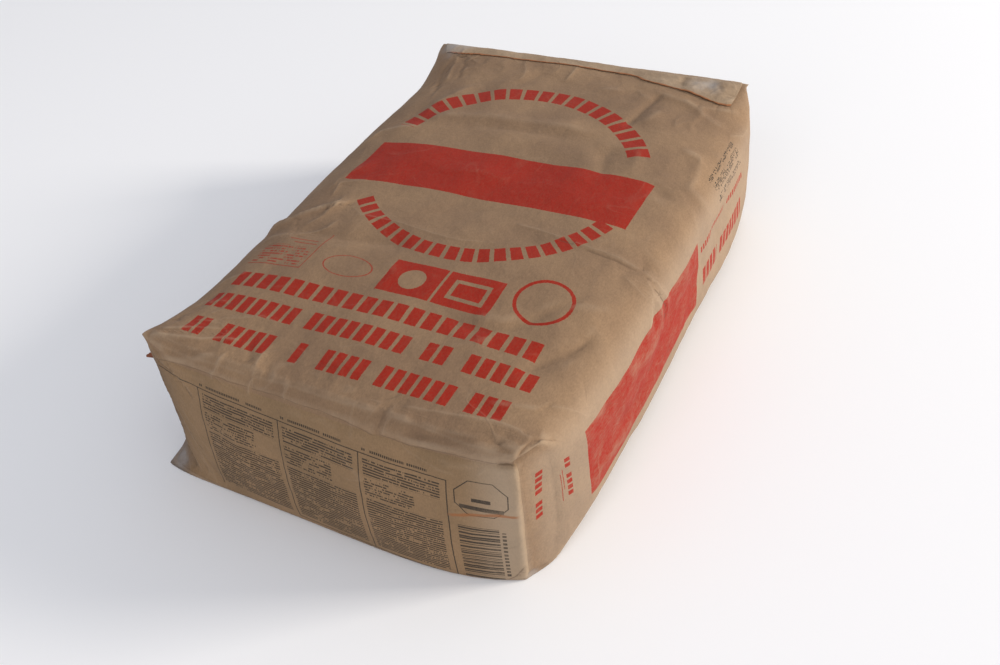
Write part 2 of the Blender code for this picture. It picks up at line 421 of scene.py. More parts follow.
TOP_CREASES = drawn(
    (2.5, 5.5, SOFT, 18, (-152, -90), (-124, -71), (-110, -59), (-93, -50), (-82, -52)),
    (0.8, 4, SHARP, 24, (-88, -49), (-70, -60), (-40, -59), (-7, -63), (20, -65), (48, -59)),
    (-1.2, 2.2, SHARP, 6, (-108, -63), (-101, -58), (-92, -51), (-84, -46)),
    (1.1, 2.4, SHARP, 7, (-106, -65), (-100, -62), (-97, -54), (-90, -49)),
    (1.3, 3.2, SHARP, 12, (-138, -107), (-131, -98), (-112, -94), (-102, -89), (-88, -80), (-84, -67)),
    (0.9, 2.6, SHARP, 8, (-114, -40), (-115, -33), (-118, -21), (-106, -17), (-92, -14)),
    (1.4, 4.0, SHARP, 12, (-143, 40), (-139, 55), (-134, 65), (-116, 69), (-96, 74)),
    (-1.7, 9, SOFT, 22, (-120, -92), (-96, -86), (-70, -88), (-40, -84), (-6, -82)),
    (1.0, 4, SHARP, 14, (-112, -84), (-102, -70), (-98, -54), (-102, -36)),
    (0.9, 1.7, SHARP, 9, (46, -33), (66, -34), (94, -38), (111, -40), (119, -39), (132, -40), (145, -40),
     (152, -39)),
    (-0.8, 1.5, SHARP, 5, (84, -40), (112, -43), (127, -43), (140, -43), (149, -42), (153, -41)),
    (-1.2, 1.0, SHARP, 1.2, (150, -35), (151, -38), (152, -41)),
    (-0.6, 7, SOFT, 20, (52, -44), (84, -48), (112, -49), (138, -50)),
    (1.1, 1.8, SHARP, 6, (150, -40), (156, -40), (167, -40), (182, -33), (198, -30)),
    (-1.1, 1.6, SHARP, 5, (152, -42), (163, -46), (177, -42), (187, -36), (202, -36)),
    (1.0, 2.0, SHARP, 7, (153, -44), (164, -51), (181, -47), (196, -44)),
    (0.7, 2.6, SHARP, 8, (138, -52), (145, -55), (156, -59), (167, -59)),
    (-1.2, 3.6, SOFT, 10, (140, -30), (156, -34), (168, -39)),
    (1.2, 3.0, SHARP, 12, (158, -42), (166, -54), (174, -63), (184, -78)),
    (-1.3, 3.6, SOFT, 10, (168, -50), (178, -58), (192, -60)),
    (-1.0, 4.6, SOFT, 20, (44, -137), (73, -141), (92, -133), (102, -124), (113, -107), (130, -87)),
    (0.9, 5, SOFT, 14, (62, -130), (86, -128), (97, -118)),
    (0.6, 4, SOFT, 10, (60, -165), (79, -152), (89, -142)),
    (-1.7, 6, SOFT, 22, (110, -166), (121, -157), (130, -144), (142, -127), (147, -110)),
    (1.2, 8, SOFT, 26, (98, -116), (120, -100), (142, -92), (160, -94)),
    (1.4, 8, SOFT, 30, (-104, 88), (-76, 95), (-43, 100), (-13, 101), (28, 103), (60, 97)),
    (-1.2, 8, SOFT, 30, (-62, 84), (-20, 88), (24, 90), (52, 84)),
    (1.0, 3.2, SHARP, 9, (-8, 176), (-7, 192), (-8, 212)),
    (-1.2, 4, SOFT, 14, (71, 116), (75, 136), (77, 156), (83, 184)),
    (1.1, 7, SOFT, 20, (82, 122), (88, 140), (94, 164)),
    (0.9, 5, SOFT, 18, (72, 184), (96, 176), (118, 171), (140, 180), (160, 190)),
    (-1.1, 7, SOFT, 18, (80, 90), (74, 72), (80, 54), (86, 40)),
    (1.0, 8, SOFT, 24, (94, 100), (100, 72), (106, 46)),
    (1.0, 4.4, SOFT, 16, (122, 108), (142, 104), (148, 82), (148, 63), (161, 61), (176, 57)),
    (-1.1, 7, SOFT, 20, (112, 54), (132, 44), (152, 42)),
    (1.2, 8, SOFT, 30, (-107, 86), (-104, 110), (-92, 138), (-82, 160)),
    (-0.8, 9, SOFT, 30, (-134, 60), (-118, 96), (-108, 130)),
    (0.6, 2.2, SOFT, 7, (-130, 204), (-129, 190), (-126, 176), (-121, 158)),
    (-0.5, 2.2, SOFT, 7, (-127, 200), (-117, 190), (-115, 178), (-110, 160)),
    (-0.6, 2.6, SOFT, 9, (-136, 196), (-136, 176), (-126, 150), (-120, 134)),
    (0.6, 2.0, SHARP, 6, (-122, 203), (-112, 196), (-101, 190)),
    (-1.3, 1.6, SHARP, 3, (-134, 203), (-128, 200), (-120, 203)),
    (0.6, 2.2, SHARP, 10, (-62, 206), (-52, 190), (-48, 176), (-52, 164)),
    (0.5, 3.4, SOFT, 10, (118, 176), (124, 162), (120, 146), (126, 130)),
    (0.5, 3.4, SOFT, 10, (100, 180), (116, 168), (132, 160), (150, 158)),
    (-0.9, 8, SOFT, 24, (-60, 150), (-40, 170), (-30, 196)),
    (0.9, 6, SOFT, 20, (20, 168), (40, 176), (62, 178)),
    (1.1, 8, SOFT, 22, (-106, 20), (-120, -10), (-124, -34)),
    (0.8, 13, SOFT, 40, (-48, 16), (-10, 20), (34, 12)),
    (-0.8, 12, SOFT, 34, (-30, -20), (10, -26), (40, -14)),
    (0.8, 7, SOFT, 20, (-24, -100), (-8, -112), (-10, -140)),
    (1.3, 4, SHARP, 16, (150, 150), (163, 168), (166, 194)),
    (1.2, 9, SOFT, 40, (176, -130), (190, -96), (200, -60), (196, -20)),
    (-1.4, 9, SOFT, 40, (214, -150), (222, -110), (226, -70)),
    (-1.2, 9, SOFT, 36, (186, 40), (196, 80), (192, 130)),
    (-0.8, 10, SOFT, 50, (-176, -150), (-190, -90), (-186, -20), (-196, 60), (-186, 130)),
    (1.6, 11, SOFT, 50, (-206, -120), (-214, -40), (-206, 60)),
)
NEAR_EDGE_CREASES = drawn(
    (1.2, 2.8, SHARP, 8, (-144, -219), (-134, -215), (-112, -210), (-101, -208), (-89, -203), (-72, -200)),
    (-1.5, 9, SLOPE, 12, (-84, -201), (-101, -208), (-130, -214)),
    (0.9, 2.4, SHARP, 10, (-139, -212), (-120, -204), (-104, -199), (-90, -196)),
    (0.6, 2.0, SHARP, 6, (-120, -196), (-105, -193), (-97, -193), (-88, -197), (-85, -203)),
    (0.7, 2.4, SHARP, 12, (-104, -190), (-86, -184), (-73, -178), (-54, -180)),
    (1.0, 1.7, SHARP, 4, (-75, -210), (-77, -219), (-80, -227), (-81, -234)),
    (1.0, 1.8, SHARP, 4, (-51, -202), (-48, -213), (-47, -219), (-48, -228), (-49, -235)),
    (-1.0, 3.0, SOFT, 5, (-68, -199), (-59, -207), (-53, -214)),
    (-0.9, 3.0, SOFT, 5, (-41, -206), (-38, -214), (-36, -220)),
    (1.0, 1.8, SHARP, 4, (-20, -214), (-20, -222), (-19, -230)),
    (0.7, 1.7, SHARP, 4, (58, -208), (57, -217), (56, -222), (56, -232)),
    (-0.45, 1.6, SHARP, 4, (54, -209), (53, -217), (52, -224)),
    (0.55, 1.6, SHARP, 5, (-143, -220), (-122, -219), (-102, -219), (-77, -218), (-49, -218)),
    (0.55, 1.6, SHARP, 5, (-47, -218), (-21, -217), (14, -217), (49, -216)),
    (0.55, 1.6, SHARP, 5, (57, -216), (68, -216), (104, -218), (132, -219), (144, -220)),
    (0.8, 2.0, STEP, 4, (-140, -237), (-122, -231), (-108, -229), (-83, -228), (-64, -229), (-48, -228)),
    (0.8, 2.0, STEP, 3, (-47, -228), (-23, -227), (-6, -228)),
    (0.8, 2.0, STEP, 3, (-6, -228), (9, -227), (31, -229), (51, -232)),
    (0.8, 2.0, STEP, 3, (52, -230), (75, -231), (104, -229), (132, -229)),
    (-2.0, 12, SLOPE, 14, (143, -209), (133, -203), (118, -203), (105, -205), (87, -207), (62, -211)),
    (0.7, 2.6, SHARP, 8, (60, -210), (76, -208), (105, -204), (121, -202), (136, -203), (152, -214)),
    (-0.6, 1.8, SHARP, 2.5, (152, -215), (148, -216), (145, -219), (144, -222)),
    (-0.7, 1.8, SHARP, 4, (150, -213), (153, -216), (158, -218), (163, -216), (168, -209)),
    (0.4, 2.0, SHARP, 4, (144, -221), (151, -221), (160, -220), (167, -213)),
    (-0.35, 2.0, SHARP, 6, (106, -212), (118, -210), (133, -217), (140, -219)),
    (0.3, 2.0, SHARP, 5, (120, -208), (132, -211), (141, -213)),
    (0.8, 4, SOFT, 20, (98, -194), (116, -190), (134, -186), (150, -178)),
    (0.7, 3, SHARP, 12, (144, -190), (162, -180), (176, -170)),
    (-0.8, 7, SOFT, 24, (-150, -214), (-136, -196), (-128, -172), (-124, -150)),
    (0.8, 2.2, SHARP, 7, (-136, -160), (-132, -150), (-123, -146), (-116, -139)),
) + (
    *scattered(3, 12, (-146, -214, -100, -168), 32, 0.6),
    *scattered(4, 9, (-96, -215, 60, -206), 12, 0.35),
    *scattered(5, 5, (60, -200, 165, -150), 150, 0.12),
    *scattered(6, 12, (60, 110, 150, 180), 118),
    *scattered(7, 14, (-140, 110, -100, 200), 68, 0.6),
    *scattered(8, 12, (-140, -120, -95, -20), 24, 0.6),
    *scattered(9, 26, (172, -180, 240, 170), 90, 0.6),
)
NEAR_END_CREASES = drawn(
    (-1.0, 2.0, SHARP, 5, (-144, -236), (-130, -239), (-119, -241), (-111, -247), (-102, -258)),
    (0.9, 2.2, SHARP, 6, (-136, -234), (-122, -238), (-111, -244), (-100, -252)),
    (1.0, 2.6, SHARP, 12, (-146, -246), (-132, -268), (-118, -290), (-108, -326)),
    (-1.2, 3.6, SOFT, 12, (-140, -270), (-124, -298), (-104, -322), (-86, -338)),
    (1.3, 2.4, SHARP, 8, (-150, -300), (-134, -314), (-116, -334)),
    (-1.3, 2.2, SHARP, 6, (-146, -318), (-134, -324), (-122, -336)),
    (1.1, 2.0, SHARP, 6, (-150, -326), (-138, -330), (-128, -342)),
    (-1.4, 1.8, SHARP, 4, (-152, -296), (-142, -306), (-137, -322), (-126, -334)),
    (1.2, 1.8, SHARP, 4, (-156, -312), (-146, -322), (-140, -334)),
    (0.6, 3.6, SOFT, 18, (38, -250), (37, -280), (44, -306), (46, -330)),
    (-0.6, 5, SOFT, 18, (-30, -256), (-28, -290), (-34, -326)),
    (1.0, 2.0, TORN, 3, (98, -277), (109, -275), (119, -273), (132, -271), (143, -273)),
    (-1.8, 1.5, SHARP, 3, (130, -231), (134, -230.5), (138, -230), (143, -229.5)),
    (0.9, 1.6, SHARP, 2, (118, -241), (121, -238), (126, -233)),
    (-1.0, 2.0, SHARP, 5, (130, -338), (138, -332), (144, -322)),
    (0.35, 1.2, SHARP, 3, (143, -230), (143, -259), (142, -295), (140, -333)),
    (0.6, 8, SOFT, 24, (-80, -252), (-60, -290), (-50, -320)),
) + (
    *scattered(12, 12, (-142, -330, -104, -240), 120, 0.7),
    *scattered(13, 14, (-90, -330, 135, -236), 8, 0.35),
)
FLAP_EDGE = (
    (-150, 207), (-128, 204), (-100, 204.5), (-66, 205.5), (-25, 206.5), (15, 206.5),
    (40, 205.5), (48, 203), (56, 198), (71, 195), (95, 189), (114, 184.5),
    (124, 184), (133, 185.5), (142, 190), (150, 197),
)


@dataclass(frozen=True)
class Relief:
    """Everything that makes the full sack uneven: settled powder, slack paper and creases.

    Heights in millimetres, each with the cell size of its noise in metres. The warp is all in metres.
    """

    form: SackForm
    broad: Pair = (1.9, 0.085)
    lumps: Pair = (1.05, 0.042)
    cockle: tuple[float, Spot] = (0.40, (0.022, 0.016, 0.018))
    crumple: Pair = (0.55, 0.030)
    small_crumple: Pair = (0.22, 0.013)
    side_folds: Pair = (0.8, 0.028)
    side_stretch: Spot = (1, 0.35, 1)
    pinch_mean: float = 0.4
    warp: Pair = (0.012, 0.06)
    open_gain: float = 0.8
    creases: tuple[Crease, ...] = TOP_CREASES + NEAR_EDGE_CREASES + NEAR_END_CREASES
    torn_edge: Crease = Crease(FLAP_EDGE, 1.2, 1.5, Fold.TORN, 4)

    def lift(self, points: np.ndarray, flat: np.ndarray) -> np.ndarray:
        """Adds soft noise at three sizes, pinched noise near the ends, and the creases.

        Each part fades towards the floor, where the weight irons the paper flat, later in the loose
        ear under the valve. The broad parts fade at the end folds, which are straight.

        Args:
            points: Places on the smooth sack in metres, any shape by 3.
            flat: The same places on the flat sheet in metres, any shape by 2.

        Returns:
            Lift along the normal in metres.
        """
        noise, fine = PaperNoise(11), PaperNoise(23)
        across, along = points[..., 0], np.abs(points[..., 1] - self.form.shift) / (0.5 * self.form.length)
        face = smooth(0.955, 0.975, along)
        side = smooth(0.090, 0.155, np.abs(across)) * (1 - smooth(0.84, 0.93, along))
        open_field = 1 - 0.75 * smooth(0.90, 1.0, along)
        open_field = open_field * (1 - 0.6 * smooth(-0.10, -0.15, across))
        ends = smooth(0.72, 0.98, along)
        stray, cell = self.warp
        bent = points + np.stack([noise.at(points + shift, cell) for shift in (0.0, 1.3, 2.7)], -1) * stray

        def pinched(part: Pair, places: np.ndarray) -> np.ndarray:
            """Pinched noise of a part's height and cell size, in metres, about its mean."""
            return part[0] * MM * (fine.pinched(places, part[1]) - self.pinch_mean)

        lift = self.broad[0] * MM * noise.at(bent, self.broad[1]) * open_field
        lift += self.lumps[0] * MM * noise.at(bent + 0.5, self.lumps[1]) * open_field
        lift += self.cockle[0] * MM * fine.at(bent, self.cockle[1])
        patches = smooth(-0.15, 0.55, noise.at(points + 3.1, 0.07) + 0.5 * np.maximum(ends, side))
        lift += pinched(self.crumple, bent + 0.2) * patches * (0.35 + 0.65 * ends - 0.6 * face)
        lift += pinched(self.small_crumple, bent + 0.9) * patches * (0.3 + 0.7 * ends)
        lift += pinched(self.side_folds, bent * np.array(self.side_stretch) + 0.7) * side * open_field
        gain = 1 + self.open_gain * (1 - ends)
        for crease in self.creases:
            lift += crease.lift(flat) * (gain if crease.fold is Fold.SOFT else 1)
        in_ear = (across < -0.128) & (points[..., 1] < -0.19)
        return lift * smooth(-0.002, np.where(in_ear, 0.010, 0.022), points[..., 2])


def new_object(name: str, data: bpy.types.ID) -> bpy.types.Object:
    """Adds an object to the scene.

    Args:
        name: Its name.
        data: Its mesh, lamp or camera.

    Returns:
        The new object, at the origin.
    """
    obj = bpy.data.objects.new(name, data)
    bpy.context.scene.collection.objects.link(obj)
    return obj


@dataclass
class MeshPiece:
    """Arrays of one piece on their way into a mesh."""

    name: str
    points: np.ndarray
    faces: np.ndarray
    flat: np.ndarray
    marks: dict[str, np.ndarray] = field(default_factory=dict)

    def build(self, wall: float = 0.0, offset: float = 0.0) -> bpy.types.Object:
        """Puts the arrays into a mesh with the flat sheet as its UV map, in metres.

        Args:
            wall: Thickness of an open sheet in metres, 0 for a closed piece.
            offset: 1 for a wall outside the mesh, 0 for one on both sides of it.

        Returns:
            The new object, at the origin.
        """
        mesh = bpy.data.meshes.new(self.name)
        mesh.from_pydata(self.points.tolist(), [], self.faces.tolist())
        mesh.update()
        layer = mesh.uv_layers.new(name="flat_sheet")
        layer.data.foreach_set("uv", self.flat.astype(np.float32).ravel())
        for name, values in self.marks.items():
            attribute = mesh.attributes.new(name, "FLOAT", "POINT")
            attribute.data.foreach_set("value", values.astype(np.float32))
        mesh.polygons.foreach_set("use_smooth", np.ones(len(mesh.polygons), bool))
        mesh.update()
        obj = new_object(self.name, mesh)
        if wall:
            solid = obj.modifiers.new("paper_thickness", "SOLIDIFY")
            solid.thickness, solid.offset = wall, offset
        return obj


def grid_faces(values: np.ndarray) -> np.ndarray:
    """Takes the four corners of each cell of a grid, so that normals are row step cross column step."""
    corners = (values[:-1, :-1], values[1:, :-1], values[1:, 1:], values[:-1, 1:])
    return np.stack([c.reshape(-1, *values.shape[2:]) for c in corners], 1)


# Corner and reach of each dusty place, in metres.
DUST_CORNERS = (
    (-0.150, -0.222, 0.0, 0.030),
    (-0.140, 0.222, 0.125, 0.026),
    (0.140, -0.215, 0.0, 0.010),
    (0.115, 0.212, 0.128, 0.022),
)


def place_marks(points: np.ndarray) -> dict[str, np.ndarray]:
    """Says where the sack is dusty, where light and shade are painted on it, and where it is crumpled.

    The dust mark grows towards the floor, and dust lies at the two near corners below and at the two
    far corners above. Each is a falling exponential of a distance. The sunlit flank is marked for a
    paler tint, which is painted light, and the right part of the near end for the same paler tint; on
    both the ink wears more. The near end's left part is marked for painted shade, and the ends and
    shoulders are the most crumpled.

    Args:
        points: Vertices by 3.

    Returns:
        Four values per vertex, mostly from 0 to 1.
    """
    x, y, z = points.T
    dust = 0.55 * np.exp(-z / 0.006)
    for *corner, reach in DUST_CORNERS:
        away = np.linalg.norm(points - np.array(corner), axis=1)
        dust = np.maximum(dust, np.exp(-((away / reach) ** 2)))
    near_end = smooth(-0.214, -0.222, y)
    # Painted light: the sunlit flank is marked for a paler tint, and the right part of the near end gets the
    # same tint; the ink wears more on both.
    right_part = 1.6 * smooth(0.104, 0.136, x) * near_end * smooth(0.118, 0.104, z)
    side = np.maximum(smooth(0.139, 0.153, x) * smooth(0.116, 0.098, z), right_part)
    # Painted shade: the near end's left part is marked to be darkened with the hollow tone.
    painted_shade = 1.1 * smooth(-0.118, -0.142, x) * near_end * smooth(0.118, 0.100, z)
    crumple = np.maximum(smooth(0.150, 0.225, np.abs(y)), 0.7 * smooth(0.125, 0.160, np.abs(x)))
    return {"dust": dust, "side": side, "painted_shade": painted_shade, "crumple": 0.4 + 0.6 * crumple}


def paper_marks(points: np.ndarray, faces: np.ndarray, rounds: int = 3) -> dict[str, np.ndarray]:
    """Finds where paper stands proud and where it is hollow, and adds the marks of each place.

    Each point is set against the mean of its neighbours along its normal; that bend is averaged
    over the neighbours a few times.

    Args:
        points: Vertices by 3.
        faces: Faces by 4.
        rounds: Rounds of averaging.

    Returns:
        Values per vertex: crest, and the hollow mark for painted shade, from 0 to 1, and those of
            place_marks.
    """
    ring = np.concatenate([faces[:, [i, (i + 1) % 4]] for i in range(4)])
    start, stop = np.concatenate([ring, ring[:, ::-1]]).T
    count = np.maximum(np.bincount(start, minlength=len(points)), 1)

    def mean(values: np.ndarray) -> np.ndarray:
        """Averages a value over the edges that leave each vertex."""
        return np.bincount(start, values, minlength=len(points)) / count

    middle = np.stack([mean(points[stop, axis]) for axis in range(3)], -1)
    step = mean(np.linalg.norm(points[start] - points[stop], axis=1))
    proud = ((middle - points) * vertex_normals(points, faces, even=False)).sum(1)
    bend = proud / np.maximum(step, 1e-5) ** 2
    for _ in range(rounds):
        bend = 0.4 * bend + 0.6 * mean(bend[stop])
    # The hollow mark sets where painted shade darkens the paper.
    marks = {"crest": np.clip(-bend / CREST_BEND, 0, 1), "hollow_shade": np.clip(bend / HOLLOW_BEND, 0, 1)}
    return marks | place_marks(points)


def sheet_piece(name: str, points: np.ndarray, flat: np.ndarray, closed: bool = False) -> MeshPiece:
    """Joins a grid of points into a piece.

    Args:
        name: Name of the piece.
        points: Rows by columns by 3.
        flat: Places on the flat sheet, rows by columns by 2.
        closed: True for a tube, whose last row meets the first and whose faces are turned over.

    Returns:
        The piece's arrays, with the marks of its paper.
    """
    index = np.arange(points.shape[0] * points.shape[1]).reshape(points.shape[:2])
    turn = -1 if closed else 1
    if closed:
        index, flat = (np.concatenate([grid, grid[:1]]) for grid in (index, flat))
    faces, corners = (grid_faces(grid)[:, ::turn] for grid in (index, flat))
    verts = points.reshape(-1, 3)
    return MeshPiece(name, verts, faces, corners.reshape(-1, 2), paper_marks(verts, faces))


@dataclass(frozen=True)
class SackSkin:
    """The sack's outer ply: a tube closed by the two folded ends."""

    form: SackForm
    relief: Relief
    across: int = 176
    up: int = 40
    along: int = 176
    length_density: float = 0.33
    floor_gap: float = 0.0002

    def ring(self) -> tuple[np.ndarray, np.ndarray]:
        """Walks round the section from the middle of the underside, up the left and over the top.

        Returns:
            Places across and up of each point, with the first point again at the end.
        """
        wide, high = grid_lines(self.across), grid_lines(self.up)
        middle = self.across // 2
        one = np.ones(self.up)
        p = np.concatenate([wide[middle:0:-1], -one, wide[:-1], one, wide[:middle - 1:-1]])
        top, under = np.ones(self.across), -np.ones(middle + 1)
        r = np.concatenate([under[1:], high[:-1], top, high[:0:-1], under])
        return p, r

    def cap_numbers(self, row: int) -> np.ndarray:
        """Numbers of the tube's end ring, laid out as the border of an end's grid.

        Args:
            row: Which ring of the tube.

        Returns:
            Places across by places up; the inside is -1.
        """
        middle, count = self.across // 2, 2 * (self.across + self.up)
        numbers = np.full((self.across + 1, self.up + 1), -1)
        steps = np.arange(self.across + 1)
        numbers[:, 0] = np.where(steps <= middle, middle - steps, count + middle - steps) % count
        numbers[0, :] = middle + np.arange(self.up + 1)
        numbers[:, -1] = middle + self.up + steps
        numbers[-1, :] = (middle + self.up + self.across + self.up - np.arange(self.up + 1)) % count
        return np.where(numbers >= 0, numbers * (self.along + 1) + row, -1)

    def end_grid(self, sign: int) -> tuple[np.ndarray, np.ndarray]:
        """Lays a grid over one folded end.

        Args:
            sign: -1 for the valve end, 1 for the far end.

        Returns:
            Points, and their places on the flat sheet folded out over the top edge.
        """
        p, r = grid_lines(self.across)[:, None], grid_lines(self.up)[None, :]
        points = self.form.surface(p, np.array(float(sign)), r)
        over = run_length(points[..., :2], 0)
        down = run_length(points[:, ::-1, 1:], 1)[:, ::-1]
        if sign < 0:
            down = down + self.form.fold_drop(p, np.array(1.0))
        middle = over[self.across // 2]
        return points, np.stack([over - middle, sign * (0.5 * self.form.length + down)], -1)

    def tube_grid(self) -> tuple[np.ndarray, np.ndarray]:
        """Lays a grid over the tube.

        Returns:
            Points, and their places on the flat sheet: girth from the top's middle, and length.
        """
        p, r = self.ring()
        q = grid_lines(self.along, self.length_density)
        points = self.form.surface(p[:, None], q[None, :], r[:, None])
        girth = run_length(points, 0)
        middle = girth[self.across + self.up]
        length = np.broadcast_to(0.5 * self.form.length * q, girth.shape)
        return points, np.stack([girth - middle, length], -1)

    def arrays(self) -> MeshPiece:
        """Builds the whole closed skin with its relief.

        Returns:
            The piece's arrays.
        """
        tube, tube_flat = self.tube_grid()
        index = np.arange((len(tube) - 1) * (self.along + 1)).reshape(len(tube) - 1, -1)
        points, flat = [tube[:-1].reshape(-1, 3)], [tube_flat[:-1].reshape(-1, 2)]
        looped = np.concatenate([index, index[:1]])
        faces, corners = [grid_faces(looped)], [grid_faces(tube_flat)]
        start = index.size
        for sign, row in ((-1, 0), (1, self.along)):
            end, end_flat = self.end_grid(sign)
            numbers = self.cap_numbers(row)
            inner = numbers < 0
            numbers[inner] = start + np.arange(inner.sum())
            start += inner.sum()
            points.append(end[inner])
            flat.append(end_flat[inner])
            faces.append(grid_faces(numbers[::-sign]))
            corners.append(grid_faces(end_flat[::-sign]))
        points, places, faces = (np.concatenate(parts) for parts in (points, flat, faces))
        normals = vertex_normals(points, faces, even=True)
        lifted = points + normals * self.relief.lift(points, places)[:, None]
        lifted[:, 2] = np.maximum(lifted[:, 2], self.floor_gap * smooth(0, 0.01, points[:, 2]))
        marks = paper_marks(lifted, faces) | line_marks(places, self.relief.creases)
        return MeshPiece("sack_skin", lifted, faces, np.concatenate(corners).reshape(-1, 2), marks)


@dataclass(frozen=True)
class CoverSheet:
    """A kraft sheet pasted over a folded end. Its margins keep clear of the end's upright edges."""

    skin: SackSkin
    name: str
    sign: int
    left: int
    right: int
    bottom: int = 1
    top: int = 1
    tucked: int = 0
    tuck: float = 0.0
    proud: float = 0.00035
    thickness: float = 0.0004
    floor_gap: float = 0.0006

    def grid(self) -> tuple[np.ndarray, np.ndarray, np.ndarray]:
        """Takes the end's own grid inside the margins.

        Returns:
            Points, their places on the flat sheet, and how far each stands off the skin, in metres.
        """
        points, flat = self.skin.end_grid(self.sign)
        columns, rows = points.shape[0] - self.right, points.shape[1] - self.top
        points, flat = (grid[self.left : columns, self.bottom : rows] for grid in (points, flat))
        proud = np.full(points.shape[:2], self.proud)
        proud[:, -self.tucked - 1 :] -= np.linspace(0, self.tuck, self.tucked + 1)
        return points, flat, proud

    def arrays(self) -> MeshPiece:
        """Lays the sheet on the skin's relief, just proud of it.

        Returns:
            The piece's arrays.
        """
        points, flat, proud = self.grid()
        relief = self.skin.relief
        lift = relief.lift(points, flat) + proud
        lifted = (points + grid_normals(points) * -self.sign * lift[..., None])[:: -self.sign]
        flat = flat[:: -self.sign]
        lifted[..., 2] = np.maximum(lifted[..., 2], self.floor_gap)
        piece = sheet_piece(self.name, lifted, flat)
        piece.marks |= line_marks(flat.reshape(-1, 2), (*relief.creases, relief.torn_edge))
        return piece

    def build(self) -> bpy.types.Object:
        """Builds the sheet with its thickness outside the mesh."""
        return self.arrays().build(self.thickness, 1.0)


@dataclass(frozen=True)
class LappedSheet(CoverSheet):
    """The far cover sheet: it turns over the top fold and ends in a torn-looking, lifting edge.

    The edge is drawn on the flat sheet in millimetres, across and along. Each noise of its ragged
    line and of its folds has a height or share, a seed and a cell size.
    """

    rows: int = 44
    edge: tuple[Pair, ...] = FLAP_EDGE
    fold_at: float = 0.9985
    curl: float = 0.0004
    crumple: float = 0.0015
    ragged: tuple[Spot, ...] = ((0.0009, 5, 0.006), (0.0006, 6, 0.0024))
    folds: tuple[Spot, ...] = ((0.9, 41, 0.026), (0.25, 42, 0.011))

    def grid(self) -> tuple[np.ndarray, np.ndarray, np.ndarray]:
        """Carries each column of the end's grid on over the fold, to where the edge crosses it.

        The edge stands off most where soft noise is high, in its last third. The wide part on the
        right is crumpled by pinched noise.

        Returns:
            Points, their places on the flat sheet, and how far each stands off the skin, in metres.
        """
        form, half = self.skin.form, 0.5 * self.skin.form.length
        end, end_flat, _ = super().grid()
        p = grid_lines(self.skin.across)[self.left : self.skin.across + 1 - self.right, None]
        across, along = np.array(self.edge).T * MM
        middle = end_flat[:, -1:, 0]
        ragged = sum(high * PaperNoise(seed).at(end[:, -1], cell) for high, seed, cell in self.ragged)
        stop = (np.interp(middle, across, along) + ragged[:, None]) / half
        way = np.linspace(0, 1, self.rows + 1)[None, :]
        q = self.fold_at + (stop - self.fold_at) * way
        top = form.surface(p, q, np.array(1.0))
        top_flat = np.stack([np.broadcast_to(middle, q.shape), half * q], -1)
        waves = smooth(-0.1, 0.6, PaperNoise(31).at(top, (0.030, 0.05, 0.05)))
        wide = smooth(0.045, 0.085, top[..., 0]) * smooth(0.05, 0.30, way)
        wide = wide * (1 - 0.8 * smooth(0.75, 1.0, way))
        bent = top + 0.004 * PaperNoise(43).at(top, 0.012)[..., None]
        rough = sum(share * PaperNoise(seed).pinched(bent, cell) for share, seed, cell in self.folds)
        points, flat = np.concatenate([end, top], 1), np.concatenate([end_flat, top_flat], 1)
        proud = np.full(points.shape[:2], self.proud)
        proud[:, end.shape[1] :] += self.curl * (0.15 + waves) * smooth(0.35, 1.0, way)
        proud[:, end.shape[1] :] += self.crumple * np.maximum(rough, -0.1) * wide
        return points, flat, proud


@dataclass(frozen=True)
class ValveTube:
    """The filling valve: a flat kraft tube that comes out of the left side near the fold."""

    name: str = "valve_tube"
    inner_x: float = -0.1455
    mouth_x: float = -0.1588
    middle: Pair = (-0.2006, 0.067)
    height: float = 0.074
    gap: float = 0.0022
    wave: float = 0.0009
    mouth_waves: Pair = (0.0007, 0.0004)
    steps: int = 64
    rows: int = 12
    wall: float = 0.0004

    def build(self) -> bpy.types.Object:
        """Sweeps a long flat ring out along X, with a wavy mouth, and gives it a wall.

        Returns:
            The new object.
        """
        turn = np.linspace(0, 2 * math.pi, self.steps + 1)[:-1][:, None]
        out = np.linspace(0, 1, self.rows + 1)[None, :]
        high = np.sign(np.sin(turn)) * np.abs(np.sin(turn)) ** 0.6
        thick = np.sign(np.cos(turn)) * np.abs(np.cos(turn)) ** 0.8
        apart = 0.5 * self.gap * thick * (0.7 + 0.9 * out**2)
        y = self.middle[0] + apart + self.wave * np.sin(2.4 * high) * out
        z = self.middle[1] + 0.5 * self.height * high
        long_wave, short_wave = self.mouth_waves
        mouth = self.mouth_x + long_wave * np.sin(5 * high + 1) + short_wave * np.sin(13 * high)
        x = self.inner_x + (mouth - self.inner_x) * out
        points = np.stack(np.broadcast_arrays(x, y, z), -1)
        return sheet_piece(self.name, points, points[..., [2, 0]], closed=True).build(self.wall)


